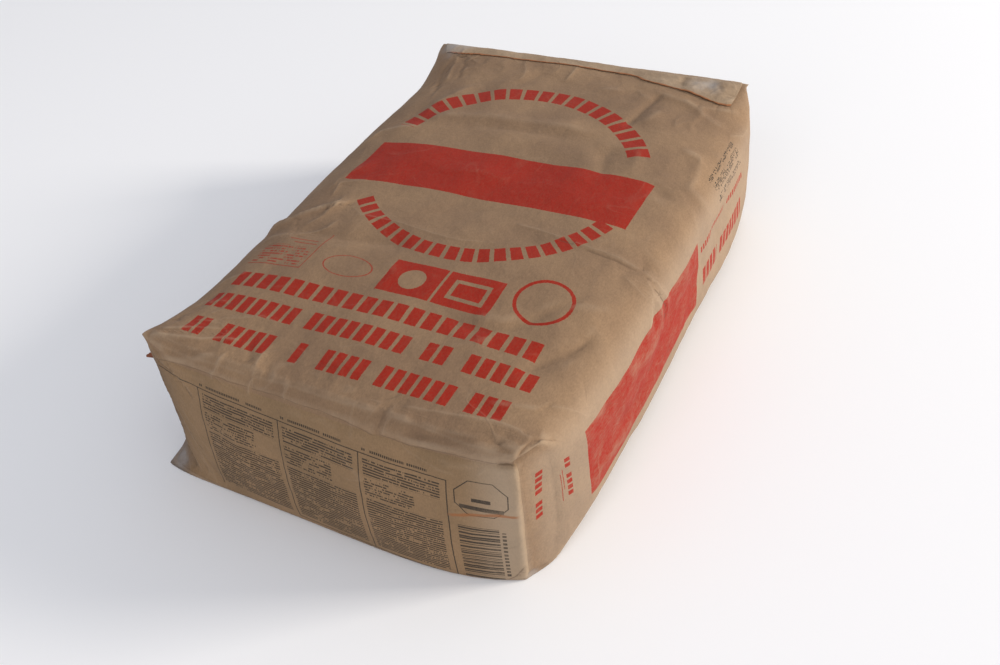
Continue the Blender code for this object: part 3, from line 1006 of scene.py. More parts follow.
@dataclass(frozen=True)
class ValveTongue:
    """A small folded slip of brown paper that sticks out at the corner, just under the fold."""

    name: str = "valve_tongue"
    root: Spot = (-0.1440, -0.2118, 0.0922)
    tip: Spot = (-0.1592, -0.2127, 0.0897)
    width: float = 0.0052
    columns: int = 14
    rows: int = 8
    wall: float = 0.0007

    def build(self) -> bpy.types.Object:
        """Bends a narrow strip about its length, with a ragged tip, and gives it a wall.

        Returns:
            The new object.
        """
        out = np.linspace(0, 1, self.columns + 1)[:, None]
        over = np.linspace(-1, 1, self.rows + 1)[None, :]
        root, tip = np.array(self.root), np.array(self.tip)
        reach = out * (1 - 0.10 * over - 0.10 * (over > 0.3))
        points = root + (tip - root) * reach[..., None]
        taper = 0.5 * self.width * (1 - 0.25 * out)
        bend = 0.0011 * (1 - over**2) + 0.0012 * np.sin(3.2 * out) * over
        for axis, shift in ((1, 0.2 * over * taper), (2, over * taper), (1, -0.8 * bend), (2, 0.5 * bend)):
            points[..., axis] += shift
        flat = np.stack(np.broadcast_arrays(out * 0.012, over * 0.003), -1)
        return sheet_piece(self.name, points, flat).build(self.wall)


@dataclass(frozen=True)
class PhotoCamera:
    """The photograph's camera, as fitted to the sack's outline. The image is 1000 by 665 pixels."""

    azimuth: float = 32.245
    elevation: float = 41.315
    distance: float = 0.6958
    roll: float = -7.530
    target: Spot = (0.0504, -0.07178, 0.06)
    focal_pixels: float = 935.2
    image_width: int = 1000
    sensor: float = 36.0

    def build(self) -> bpy.types.Object:
        """Sets the camera on its line of sight, turned by its roll.

        Returns:
            The camera object.
        """
        azimuth, elevation, roll = (math.radians(a) for a in (self.azimuth, self.elevation, self.roll))
        flat = math.cos(elevation)
        back = Vector((math.sin(azimuth) * flat, -math.cos(azimuth) * flat, math.sin(elevation)))
        right = (-back).cross(Vector((0, 0, 1))).normalized()
        up = right.cross(-back)
        turned = right * math.cos(roll) + up * math.sin(roll)
        over = up * math.cos(roll) - right * math.sin(roll)
        data = bpy.data.cameras.new("photo_camera")
        data.sensor_width = self.sensor
        data.lens = self.focal_pixels / self.image_width * self.sensor
        data.clip_start, data.clip_end = 0.01, 50.0
        camera = new_object("photo_camera", data)
        matrix = Matrix((turned, over, back)).transposed().to_4x4()
        matrix.translation = Vector(self.target) + back * self.distance
        camera.matrix_world = matrix
        bpy.context.scene.camera = camera
        return camera


Socket = bpy.types.Node | bpy.types.NodeSocket


class Graph:
    """The node tree of a material or a world, with the one function that adds a node."""

    SUFFIX = {
        "Math": "operation",
        "VectorMath": "operation",
        "MapRange": "interpolation_type",
        "Mix": "blend_type",
    }

    def __init__(self, owner: bpy.types.Material | bpy.types.World) -> None:
        """Switches the owner's nodes on and empties its tree.

        Args:
            owner: Whose look the nodes give.
        """
        owner.use_nodes = True
        self.owner, self.tree = owner, owner.node_tree
        self.tree.nodes.clear()

    def add(self, kind: str, *inputs: object, **settings: object) -> bpy.types.Node:
        """Adds a node with its settings and links.

        Args:
            kind: Node type without its ShaderNode prefix; a word after a dot sets its operation.
            inputs: Socket, node, number or vector for each input in turn, None to leave one out.
            settings: Node properties, and values or links by input name under the key sockets.

        Returns:
            The new node.
        """
        base, _, choice = kind.partition(".")
        node = self.tree.nodes.new("ShaderNode" + base)
        if base == "Mix":
            node.data_type = "RGBA" if choice else "FLOAT"
        if choice:
            setattr(node, self.SUFFIX[base], choice)
        sockets = settings.pop("sockets", {})
        for key, value in settings.items():
            setattr(node, key, value)
        live = [s for s in node.inputs if s.enabled]
        for socket, value in [*zip(live, inputs), *((node.inputs[k], v) for k, v in sockets.items())]:
            if isinstance(value, bpy.types.Node):
                value = next(s for s in value.outputs if s.enabled)
            if isinstance(value, bpy.types.NodeSocket):
                self.tree.links.new(value, socket)
            elif value is not None:
                socket.default_value = value
        return node

    def mark(self, name: str) -> Socket:
        """Reads a value that the mesh carries at each vertex."""
        return self.add("Attribute", attribute_name=name).outputs["Fac"]

    def place(self) -> Socket:
        """Reads where on the object a point lies, in metres."""
        return self.add("TexCoord").outputs["Object"]

    def noise(
        self, place: Socket, scale: float, detail: float, roughness: float = 0.5, **settings: object
    ) -> Socket:
        """Adds a soft noise: the scale is cells per unit, the detail its finer layers."""
        sockets = {"Scale": scale, "Detail": detail, "Roughness": roughness}
        return self.add("TexNoise", place, sockets=sockets, **settings)

    def times(self, first: Socket, second: Socket | float) -> Socket:
        """Multiplies two values."""
        return self.add("Math.MULTIPLY", first, second)

    def scaled(self, vector: Socket, by: float) -> Socket:
        """Multiplies a vector by a number."""
        return self.add("VectorMath.SCALE", vector, sockets={"Scale": by})

    def ramp(self, value: Socket, low: float, high: float, start: float = 0.0, end: float = 1.0) -> Socket:
        """Maps a value from low to high straight to start to end."""
        return self.add("MapRange.LINEAR", value, low, high, start, end)

    def ease(self, value: Socket, low: float, high: float, start: float = 0.0, end: float = 1.0) -> Socket:
        """Maps a value from low to high to start to end, with a soft start and stop."""
        return self.add("MapRange.SMOOTHSTEP", value, low, high, start, end)

    def tint(self, share: Socket, colour: Socket, hex_colour: str) -> Socket:
        """Covers a share of a colour with another one, given in sRGB hex."""
        return self.add("Mix.MIX", share, colour, linear(hex_colour))


class Stencil:
    """Printed shapes on the flat sheet, each a node that gives 1 inside and 0 outside, sizes in mm."""

    def __init__(self, graph: Graph, ragged: float = 0.22, slope: float = 0.0) -> None:
        """Reads the flat sheet in millimetres and roughens it a little, as ink spreads on fibres.

        Args:
            graph: The material's graph.
            ragged: How far an edge strays, in millimetres.
            slope: Rise of the print's rows for each millimetre across, as the web ran askew.
        """
        self.graph = graph
        sheet = graph.add("UVMap", uv_map="flat_sheet")
        place = graph.scaled(sheet, 1 / MM)
        stray = graph.noise(place, 0.9, 2.0)
        centred = graph.add("VectorMath.SUBTRACT", stray.outputs["Color"], (0.5, 0.5, 0.5))
        self.place = graph.add("VectorMath.ADD", place, graph.scaled(centred, ragged * 4))
        axes = graph.add("SeparateXYZ", self.place)
        level = graph.add("Math.MULTIPLY_ADD", axes.outputs["X"], -slope, axes.outputs["Y"])
        self.across, self.along = axes.outputs["X"], level.outputs["Value"]

    def any_of(self, *shapes: Socket) -> Socket:
        """Joins shapes: ink where any of them has ink."""
        return functools.reduce(lambda first, second: self.graph.add("Math.MAXIMUM", first, second), shapes)

    def both(self, *shapes: Socket) -> Socket:
        """Crosses shapes: ink only where all of them have ink."""
        return functools.reduce(self.graph.times, shapes)

    def less(self, shape: Socket, hole: Socket) -> Socket:
        """Cuts one shape out of another."""
        return self.graph.times(shape, self.graph.add("Math.SUBTRACT", 1.0, hole))

    def between(self, value: Socket, low: float, high: float) -> Socket:
        """A strip: ink where a value is near the middle of its two limits."""
        return self.graph.add("Math.COMPARE", value, (low + high) / 2, (high - low) / 2)

    def bar(self, left: float, low: float, right: float, high: float) -> Socket:
        """A solid rectangle: a strip across and a strip along."""
        return self.both(self.between(self.across, left, right), self.between(self.along, low, high))

    def frame(self, left: float, low: float, right: float, high: float, line: float) -> Socket:
        """A rectangle's outline of the given line width."""
        inner = self.bar(left + line, low + line, right - line, high - line)
        return self.less(self.bar(left, low, right, high), inner)

    def teeth(self, value: Socket, start: float, pitch: float, gap: float) -> Socket:
        """Repeats ink along a value: a gap is centred on start and on every pitch after it."""
        moved = self.graph.add("Math.SUBTRACT", value, start)
        return self.graph.add("Math.GREATER_THAN", self.graph.add("Math.PINGPONG", moved, pitch / 2), gap / 2)

    def blocks(
        self,
        groups: tuple[Pair, ...],
        low: float,
        high: float,
        pitch: float,
        gap: float,
        upright: bool = False,
    ) -> Socket:
        """Rows of plain blocks.

        Args:
            groups: Start and end of each group of blocks.
            low: Lower edge of the row.
            high: Upper edge of the row.
            pitch: Step from block to block.
            gap: Bare paper between two blocks.
            upright: True where the row runs along the sack and not across it.

        Returns:
            The shape's node.
        """
        run, rise = (self.along, self.across) if upright else (self.across, self.along)
        inked = [self.both(self.between(run, *ends), self.teeth(run, ends[0], pitch, gap)) for ends in groups]
        return self.both(self.any_of(*inked), self.between(rise, low, high))

    def away(self, across: float, along: float) -> Socket:
        """Distance from a point of the sheet."""
        return self.graph.add("VectorMath.DISTANCE", self.place, (across, along, 0)).outputs["Value"]

    def disc(self, across: float, along: float, radius: float) -> Socket:
        """A solid disc."""
        return self.graph.add("Math.LESS_THAN", self.away(across, along), radius)

    def rim(self, away: Socket, radius: float, line: float) -> Socket:
        """The last line width of a distance up to the radius."""
        return self.graph.add("Math.COMPARE", away, radius - line / 2, line / 2)

    def hoop(self, across: float, along: float, radius: float, line: float) -> Socket:
        """A circle's outline of the given outer radius and line width."""
        return self.rim(self.away(across, along), radius, line)

    def arc(
        self,
        centre: Pair,
        radius: float,
        line: float,
        span: Pair,
        step: float,
        gap: float,
        lean: float = 0.0,
    ) -> Socket:
        """Blocks set along an arc.

        Args:
            centre: The arc's centre.
            radius: Outer radius.
            line: Height of the blocks.
            span: First and last angle in degrees, from the right, anticlockwise.
            step: Degrees from block to block.
            gap: Bare degrees between two blocks.
            lean: Shift to the left for each millimetre along, as the plate was set askew.

        Returns:
            The shape's node.
        """
        moved = self.graph.add("SeparateXYZ", self.graph.add("VectorMath.SUBTRACT", self.place, (*centre, 0)))
        along = moved.outputs["Y"]
        across = self.graph.add("Math.MULTIPLY_ADD", along, lean, moved.outputs["X"])
        degrees = self.graph.add("Math.DEGREES", self.graph.add("Math.ARCTAN2", along, across))
        away = self.graph.add("VectorMath.LENGTH", self.graph.add("CombineXYZ", across, along))
        ring = self.rim(away.outputs["Value"], radius, line)
        return self.both(ring, self.between(degrees, *span), self.teeth(degrees, span[0], step, gap))

    def fine_lines(
        self, left: float, low: float, right: float, high: float, pitch: float, cover: float
    ) -> Socket:
        """Rows of broken thin dashes, which are grey from a distance.

        Noise along each row breaks it into dashes: the row's number moves the noise, so rows differ.

        Args:
            left: Left edge of the block.
            low: Lower edge.
            right: Right edge.
            high: Upper edge.
            pitch: Step from row to row.
            cover: Share of the rows that has ink, about 0.3 to 0.7.

        Returns:
            The shape's node.
        """
        graph = self.graph
        rows = graph.add("Math.DIVIDE", self.along, pitch)
        number = graph.add("Math.FLOOR", rows)
        inked = graph.add("Math.COMPARE", graph.add("Math.SUBTRACT", rows, number), 0.5, 0.27)
        lookup = graph.add("CombineXYZ", self.across, graph.times(number, 37.7))
        dashes = graph.noise(lookup, 0.75, 1.0, noise_dimensions="2D")
        groups = graph.noise(lookup, 0.09, 0.0, noise_dimensions="2D")
        shares = graph.add("Math.ADD", dashes, graph.times(groups, 0.8))
        broken = graph.add("Math.LESS_THAN", shares, 0.4 + cover)
        return self.both(self.bar(left, low, right, high), inked, broken)


@dataclass(frozen=True)
class SackPrint:
    """The plain red marks and black dots on the sack, in millimetres on the flat sheet."""

    band: Box = (-118, -12, 124, 48)
    ring_centre: Pair = (0, 34)
    ring_radius: float = 123
    ring_line: float = 18.5
    square: Box = (-12, -131, 30, -98)
    second_square: float = 44.0
    square_inset: float = 7
    square_line: float = 3.2
    disc_radius: float = 10
    hoop: Spot = (104, -103, 21)
    hoop_line: float = 2.6
    oval: Spot = (-44, -117, 20.0)
    oval_flatness: float = 1.9
    dot_block: Box = (156, 84, 179, 148)
    dot_pitch: float = 2.0
    dot_radius: float = 0.50
    dots_left_out: float = 0.38
    plate_lean: float = 0.1
    side_band: Box = (179, -185.5, 240, 28)
    rows: tuple[tuple, ...] = (
        (((-124, 122),), -154, -139, 12.3, 3.4),
        (((-128, -48), (-40, 40), (50, 70), (80, 130)), -178, -163, 10, 2.8),
        (((-122, -104), (-94, -49), (-32, -23), (-10, 26), (34, 88), (97, 124)), -204, -189, 9, 2.6),
    )

    def top_marks(self, draw: Stencil) -> Socket:
        """Draws the band, the broken ring, the two squares, the hoop and the three rows.

        Args:
            draw: The stencil of the sack's material.

        Returns:
            The joined shape's node.
        """
        left, low, right, high = self.square
        shift, middle, inset = self.second_square, (low + high) / 2, self.square_inset
        inner = (left + shift + inset, low + inset, right + shift - inset, high - inset)
        radius, line = self.ring_radius, self.ring_line
        return draw.any_of(
            draw.bar(*self.band),
            draw.arc(self.ring_centre, radius, line, (22, 160), 7.2, 1.8, self.plate_lean),
            draw.arc(self.ring_centre, radius - 2, line - 4.5, (-142, -22), 6.0, 1.7, self.plate_lean),
            draw.less(draw.bar(*self.square), draw.disc((left + right) / 2, middle, self.disc_radius)),
            draw.less(
                draw.bar(left + shift, low, right + shift, high), draw.frame(*inner, self.square_line)
            ),
            draw.hoop(*self.hoop, self.hoop_line),
            *(draw.blocks(*row) for row in self.rows),
        )

    def side_marks(self, draw: Stencil) -> Socket:
        """Draws the side's band and the rows of small blocks round it.

        Args:
            draw: The stencil of the sack's material.

        Returns:
            The joined shape's node.
        """
        return draw.any_of(
            draw.bar(*self.side_band),
            draw.blocks(((34, 96), (104, 150)), 188, 193, 4.6, 1.7, upright=True),
            draw.blocks(((40, 76), (84, 150)), 213, 229, 8.5, 2.4, upright=True),
            draw.blocks(((186, 197), (202, 224)), -213.6, -208, 5.5, 1.7),
            draw.bar(196, -217.2, 216, -216.6),
            draw.bar(200, -219.4, 226, -218.8),
            draw.blocks(((-292, -276), (-270, -248)), 156, 161.5, 5.5, 1.9, upright=True),
        )

    def thin_marks(self, draw: Stencil) -> Socket:
        """Draws the faint block of thin lines and the small oval by the left shoulder.

        Args:
            draw: The stencil of the sack's material.

        Returns:
            The joined shape's node.
        """
        across, along, radius = self.oval
        flat = draw.graph.add("VectorMath.MULTIPLY", draw.place, (1, self.oval_flatness, 0))
        middle = (across, along * self.oval_flatness, 0)
        away = draw.graph.add("VectorMath.DISTANCE", flat, middle).outputs["Value"]
        return draw.any_of(
            draw.bar(-79, -128, -78.2, -84),
            draw.bar(-128, -128, -79, -127.2),
            draw.fine_lines(-126, -126, -82, -104, 3.0, 0.50),
            draw.bar(-104, -100, -83, -99.2),
            draw.bar(-110, -96, -84, -95.2),
            draw.graph.add("Math.COMPARE", away, radius, 0.6),
        )

    def dots(self, draw: Stencil) -> Socket:
        """Draws the small black block of jet-printed dots high on the right side.

        A dot stands at most points of a lattice, with its radius in lattice steps. Noise leaves
        some out.

        Args:
            draw: The stencil of the sack's material.

        Returns:
            The shape's node.
        """
        graph = draw.graph
        cells = graph.scaled(draw.place, 1 / self.dot_pitch)
        part = graph.add("VectorMath.SUBTRACT", graph.add("VectorMath.FRACTION", cells), (0.5, 0.5, 0))
        away = graph.add("VectorMath.LENGTH", part).outputs["Value"]
        dot = graph.add("Math.LESS_THAN", away, self.dot_radius)
        chance = graph.add("TexWhiteNoise", graph.add("VectorMath.FLOOR", cells))
        some = graph.add("Math.GREATER_THAN", chance.outputs["Value"], self.dots_left_out)
        return draw.both(draw.bar(*self.dot_block), draw.teeth(draw.across, 151, 10.3, 2.6), dot, some)


@dataclass(frozen=True)
class CoverPrint:
    """The dark marks on the valve end's cover, in millimetres on the flat sheet.

    A ruled frame, grey columns, an eight-sided outline and a block of lines. The top fold is at -221.
    """

    top: float = -246.0
    low: float = -335.0
    columns: tuple[float, ...] = (-140, -96, -26, 37, 98)
    line: float = 0.8
    pitch: float = 2.15
    plate: Box = (103, -275, 137, -246)
    lines_block: Box = (104, -333, 130, -281)

    def marks(self, draw: Stencil) -> Socket:
        """Draws all of it.

        Args:
            draw: The stencil of the cover's material.

        Returns:
            The joined shape's node.
        """
        graph, line, top = draw.graph, self.line, self.top
        shapes = [draw.bar(self.columns[0], top - line, self.columns[-1], top)]
        shapes.append(draw.bar(self.columns[2], self.low, self.columns[-1], self.low + line))
        shapes += [draw.bar(x, self.low, x + line, top) for x in self.columns[1:]]
        for left, right in zip(self.columns[1:], self.columns[2:]):
            middle = (left + 9, left + 0.55 * (right - left))
            groups = ((left + 3, left + 6), middle, (right - 26, right - 12))
            shapes.append(draw.blocks(groups, top + 1.8, top + 3.7, 1.5, 0.45))
            for low, inset, high, cover in (
                (top - 17, 4, top - 3, 0.63),
                (top - 33, 22, top - 18, 0.57),
                (self.low + 4, 4, top - 35, 0.67),
            ):
                shapes.append(draw.fine_lines(left + 3.5, low, right - inset, high, self.pitch, cover))
        left, low, right, high = self.plate
        across, along = (left + right) / 2, (low + high) / 2
        offset = graph.add("VectorMath.SUBTRACT", draw.place, (across, along, 0))
        sizes = graph.add("SeparateXYZ", graph.add("VectorMath.ABSOLUTE", offset))
        wide, tall = sizes.outputs["X"], sizes.outputs["Y"]
        square = graph.add("Math.MAXIMUM", wide, graph.times(tall, (right - left) / (high - low)))
        slant = graph.times(graph.add("Math.ADD", wide, tall), 0.76)
        shapes.append(draw.rim(graph.add("Math.MAXIMUM", square, slant), (right - left) / 2, line))
        shapes.append(draw.bar(across - 6, along + 1.5, across + 6, along + 4.5))
        shapes.append(draw.bar(across - 14, along - 5, across + 14, along - 2))
        bars = graph.noise(draw.along, 0.62, 0.0, noise_dimensions="1D")
        shapes.append(draw.both(draw.bar(*self.lines_block), graph.add("Math.GREATER_THAN", bars, 0.5)))
        beside = self.lines_block[2]
        shapes.append(draw.blocks(((-329, -284),), beside + 1.6, beside + 4.2, 3.6, 1.5, upright=True))
        return draw.any_of(*shapes)


@dataclass(frozen=True)
class KraftPaper:
    """Natural brown sack kraft, matt and fibrous, and a little mottled.

    The eye gets fibres along the sheet, soft clouds of tone, paler rubbed crests, hollows and grooves
    darkened as painted shade, a sunlit flank painted paler, and a bloom of grey cement dust by the
    folds. Paper has an IOR of about 1.5.
    """

    name: str
    base: str = "#8f7357"
    deep: str = "#81674f"
    rubbed: str = "#ab947a"
    # Painted shade: the tone that darkens hollows, grooves and ply feet.
    hollow_shade: str = "#584536"
    dust: str = "#a09c98"
    core: str = "#955c35"
    painted_sunlit_tone: str = "#c4b49f"
    fibre_mm: float = 0.8
    cloud_mm: float = 45.0
    cockle_mm: float = 6.0
    facet_mm: float = 17.0
    web_mm: float = 44.0
    roughness: float = 0.9
    sheen: float = 0.03

    def paper(self, graph: Graph) -> tuple[Socket, Socket]:
        """Makes the bare paper's colour.

        Args:
            graph: The material's graph.

        Returns:
            The colour's node, and the fibre noise that the ink and the bump share.
        """
        place = graph.place()
        long_way = graph.add("Mapping", place, sockets={"Scale": (1.0, 0.4, 0.5)})
        fibres = graph.noise(long_way, 1000 / self.fibre_mm, 3.0)
        clouds = graph.ramp(graph.noise(place, 1000 / self.cloud_mm, 5.0), 0.35, 0.65)
        specks = graph.noise(place, 420.0, 2.0, 0.7)
        colour = graph.tint(clouds, linear(self.deep), self.base)
        grain = graph.ramp(specks, 0.3, 0.7, 0.965, 1.035)
        tone = graph.times(graph.ramp(fibres, 0.25, 0.75, 0.89, 1.11), grain)
        colour = graph.add("Mix.MULTIPLY", 1.0, colour, graph.add("CombineColor", tone, tone, tone))
        # Painted light: the side mark tints the sunlit flank, and the right part of the near end, paler.
        return graph.tint(graph.times(graph.mark("side"), 0.20), colour, self.painted_sunlit_tone), fibres

    def fold_lines(self, graph: Graph) -> Socket:
        """Thin crooked lines where a noise crosses its middle value, as crumpled paper keeps them.

        A second noise breaks them up, and they are strongest where the paper is crumpled.

        Args:
            graph: The material's graph.

        Returns:
            Node that is 1 on a line and 0 off it.
        """
        place = graph.place()
        sockets = {"Scale": 1000 / self.web_mm, "Detail": 1.2, "Distortion": 0.5}
        web = graph.add("TexNoise", place, sockets=sockets)
        away = graph.add("Math.ABSOLUTE", graph.add("Math.SUBTRACT", web, 0.5))
        some = graph.ease(graph.noise(place, 30.0, 2.0), 0.46, 0.62)
        return graph.times(graph.times(graph.ease(away, 0.0, 0.024, 1.0, 0.0), some), graph.mark("crumple"))

    def crest(self, graph: Graph, reach: float = 0.9) -> Socket:
        """Draws the sharp folds from the distance that the mesh carries.

        Args:
            graph: The material's graph.
            reach: Half width in millimetres. A wide one is a tent, for the bump.

        Returns:
            Node that is up to 1 on a ridge, down to -1 in a groove, and 0 elsewhere.
        """
        away = graph.add("Math.ABSOLUTE", self.crooked(graph, "ridge_off"))
        return graph.times(graph.ramp(away, 0.0, reach, 1.0, 0.0), graph.mark("ridge_power"))

    def crooked(self, graph: Graph, name: str) -> Socket:
        """Reads a distance in millimetres and bends it by noise of half a millimetre."""
        shift = graph.add("Math.MULTIPLY_ADD", graph.noise(graph.place(), 230.0, 3.0), 1.4, -0.7)
        return graph.add("Math.ADD", shift, graph.mark(name))

    def ply(self, graph: Graph) -> tuple[Socket, Socket]:
        """Draws the ply edges: a step of half a millimetre, and the painted shadow line at its foot.

        Args:
            graph: The material's graph.

        Returns:
            Two nodes from 0 to 1: height and shade.
        """
        off, power = self.crooked(graph, "ply_off"), graph.mark("ply_power")
        away = graph.add("Math.ABSOLUTE", graph.add("Math.ADD", off, 0.45))
        foot_shadow = graph.ease(away, 0.1, 0.75, 1.0, 0.0)
        return graph.times(graph.ease(off, -0.3, 0.3), power), graph.times(foot_shadow, power)

    def printed(self, graph: Graph, colour: Socket, fibres: Socket) -> Socket:
        """Leaves the paper bare; printed papers lay their inks here."""
        return colour

    def worn(self, graph: Graph, colour: Socket) -> Socket:
        """Lays wear over the printed paper: rubbed crests, a torn edge and cement dust; and painted shade:
        darker hollows, grooves, ply feet and the near end's left part.

        Args:
            graph: The material's graph.
            colour: The printed paper's colour.

        Returns:
            The worn colour's node.
        """
        patch = graph.noise(graph.place(), 34.0, 5.0, 0.62)
        line, torn = self.crest(graph), graph.add("Math.ABSOLUTE", self.crooked(graph, "torn_off"))
        rubbing = graph.ramp(graph.times(graph.mark("crest"), patch), 0.05, 0.42, 0.0, 0.42)
        # Painted shade: grooves and the feet of ply edges are darkened with the hollow tone.
        groove_shade, foot_shadow = graph.ramp(line, 0.0, -1.0, 0.0, 0.7), graph.times(self.ply(graph)[1], 0.6)
        bare = graph.times(graph.ease(torn, 0.9, 1.9, 0.85, 0.0), graph.mark("torn_power"))
        # Painted shade: hollows, and the near end's left part, are darkened with the hollow tone.
        painted_hollow_shade = graph.ramp(graph.mark("hollow_shade"), 0.1, 1.0, 0.0, 0.30)
        painted_shade = graph.times(graph.mark("painted_shade"), patch)
        bloom = graph.ease(graph.times(graph.mark("dust"), patch), 0.22, 0.62, 0.0, 0.75)
        for share, tone in (
            (rubbing, self.rubbed),
            (graph.times(self.fold_lines(graph), 0.12), self.rubbed),
            (graph.ramp(line, 0.0, 1.0, 0.0, 0.26), self.rubbed),
            (graph.add("Math.MAXIMUM", groove_shade, foot_shadow), self.hollow_shade),
            (bare, self.core),
            (graph.add("Math.MAXIMUM", painted_hollow_shade, painted_shade), self.hollow_shade),
            (bloom, self.dust),
        ):
            colour = graph.tint(share, colour, tone)
        return colour

    def finish(self, graph: Graph, colour: Socket, fibres: Socket) -> bpy.types.Material:
        """Adds the fine relief and the shader.

        The bump is fibres of a fraction of a millimetre over a cockle of a few millimetres, and
        Voronoi cones, bent by noise, whose meeting lines are the small folds of crumpled paper.

        Args:
            graph: The material's graph.
            colour: The finished colour.
            fibres: The fibre noise.

        Returns:
            The material.
        """
        place = graph.place()
        cockle = graph.noise(place, 1000 / self.cockle_mm, 3.0)
        wander = graph.scaled(graph.noise(place, 55.0, 2.0).outputs["Color"], 0.014)
        bent = graph.add("VectorMath.ADD", place, wander)
        facets, small = (
            graph.add("TexVoronoi", bent, sockets={"Scale": share / self.facet_mm}).outputs["Distance"]
            for share in (1000, 2300)  # the second has cells of less than half the size
        )
        folds = graph.add("Math.MULTIPLY_ADD", small, 0.35, facets)
        folds = graph.times(folds, graph.times(graph.mark("crumple"), 7.0))
        height = graph.add("Math.MULTIPLY_ADD", cockle, 4.0, graph.times(fibres, 1.2))
        height = graph.add("Math.ADD", height, folds)
        lines = ((self.fold_lines(graph), 1.2), (self.crest(graph, 3.0), 3.0), (self.ply(graph)[0], 2.6))
        for part, gain in lines:
            height = graph.add("Math.MULTIPLY_ADD", part, gain, height)
        bump = graph.add("Bump", sockets={"Strength": 0.55, "Distance": 0.00022, "Height": height})
        gloss = {"Roughness": self.roughness, "IOR": 1.5, "Specular IOR Level": 0.14}
        fuzz = {"Sheen Weight": self.sheen, "Sheen Roughness": 0.6}
        shader = graph.add("BsdfPrincipled", colour, sockets=gloss | fuzz | {"Normal": bump})
        graph.add("OutputMaterial", shader)
        return graph.owner

    def made(self) -> bpy.types.Material:
        """Makes the paper, prints it, wears it and finishes it.

        Returns:
            The material.
        """
        graph = Graph(bpy.data.materials.new(self.name))
        colour, fibres = self.paper(graph)
        colour = self.printed(graph, colour, fibres)
        return self.finish(graph, self.worn(graph, colour), fibres)


@dataclass(frozen=True)
class Flexo:
    """One flexographic ink: thin and matt, so that fibres and rubbed crests show through it."""

    ink: str
    cover: float = 0.92
    wear: float = 0.55

    def lay(self, graph: Graph, colour: Socket, shape: Socket, fibres: Socket) -> Socket:
        """Prints a shape on the paper.

        Args:
            graph: The material's graph.
            colour: The paper's colour.
            shape: Node that is 1 where the plate prints.
            fibres: The fibre noise.

        Returns:
            The printed colour's node.
        """
        place = graph.place()
        long_way = graph.add("Mapping", place, sockets={"Scale": (1.0, 0.16, 1.0)})
        streaks = graph.noise(long_way, 900.0, 4.0, 0.7)
        patch = graph.noise(place, 60.0, 5.0, 0.65)
        worn = graph.add("Math.MULTIPLY_ADD", graph.mark("side"), 0.11, graph.times(graph.mark("crest"), 0.5))
        worn = graph.add("Math.ADD", worn, graph.times(streaks, 0.5))
        worn = graph.add("Math.MULTIPLY_ADD", patch, 0.35, worn)
        kept = graph.ease(worn, 0.48, 0.75, 1.0, 1.0 - self.wear)
        soaked = graph.ramp(fibres, 0.3, 0.7, self.cover - 0.10, self.cover + 0.08)
        return graph.tint(graph.times(graph.times(kept, soaked), shape), colour, self.ink)


@dataclass(frozen=True)
class PrintedSack(KraftPaper):
    """Sack kraft with the sack's red marks and the jet-printed black dots."""

    red: Flexo = Flexo("#95200f", 0.96, 0.45)
    thin_red: Flexo = Flexo("#952c1c", 0.85, 0.4)
    black: Flexo = Flexo("#211f1e", 1.0, 0.05)

    def printed(self, graph: Graph, colour: Socket, fibres: Socket) -> Socket:
        """Lays the sack's three inks.

        Args:
            graph: The material's graph.
            colour: The paper's colour.
            fibres: The fibre noise.

        Returns:
            The printed colour's node.
        """
        draw, marks = Stencil(graph, slope=0.02), SackPrint()
        bold = draw.any_of(marks.top_marks(draw), marks.side_marks(draw))
        colour = self.red.lay(graph, colour, bold, fibres)
        colour = self.thin_red.lay(graph, colour, marks.thin_marks(draw), fibres)
        return self.black.lay(graph, colour, marks.dots(draw), fibres)


@dataclass(frozen=True)
class PrintedCover(KraftPaper):
    """Cover sheet kraft with its dark marks."""

    black: Flexo = Flexo("#2b2724", 0.86, 0.28)

    def printed(self, graph: Graph, colour: Socket, fibres: Socket) -> Socket:
        """Lays the dark ink."""
        return self.black.lay(graph, colour, CoverPrint().marks(Stencil(graph, 0.06, -0.035)), fibres)


@dataclass(frozen=True)
class SoftLight:
    """One large soft lamp, aimed at the sack."""

    name: str
    place: Spot
    size: float
    watts: float
    colour: str = "#ffffff"
    aim: Spot = (0.0, 0.0, 0.06)

    def build(self) -> bpy.types.Object:
        """Hangs the lamp in its place.

        Returns:
            The lamp.
        """
        data = bpy.data.lights.new(self.name, "AREA")
        data.energy, data.size, data.color = self.watts, self.size, linear(self.colour)[:3]
        lamp = new_object(self.name, data)
        lamp.location = self.place
        lamp.rotation_euler = (Vector(self.aim) - Vector(self.place)).to_track_quat("-Z", "Y").to_euler()
        return lamp


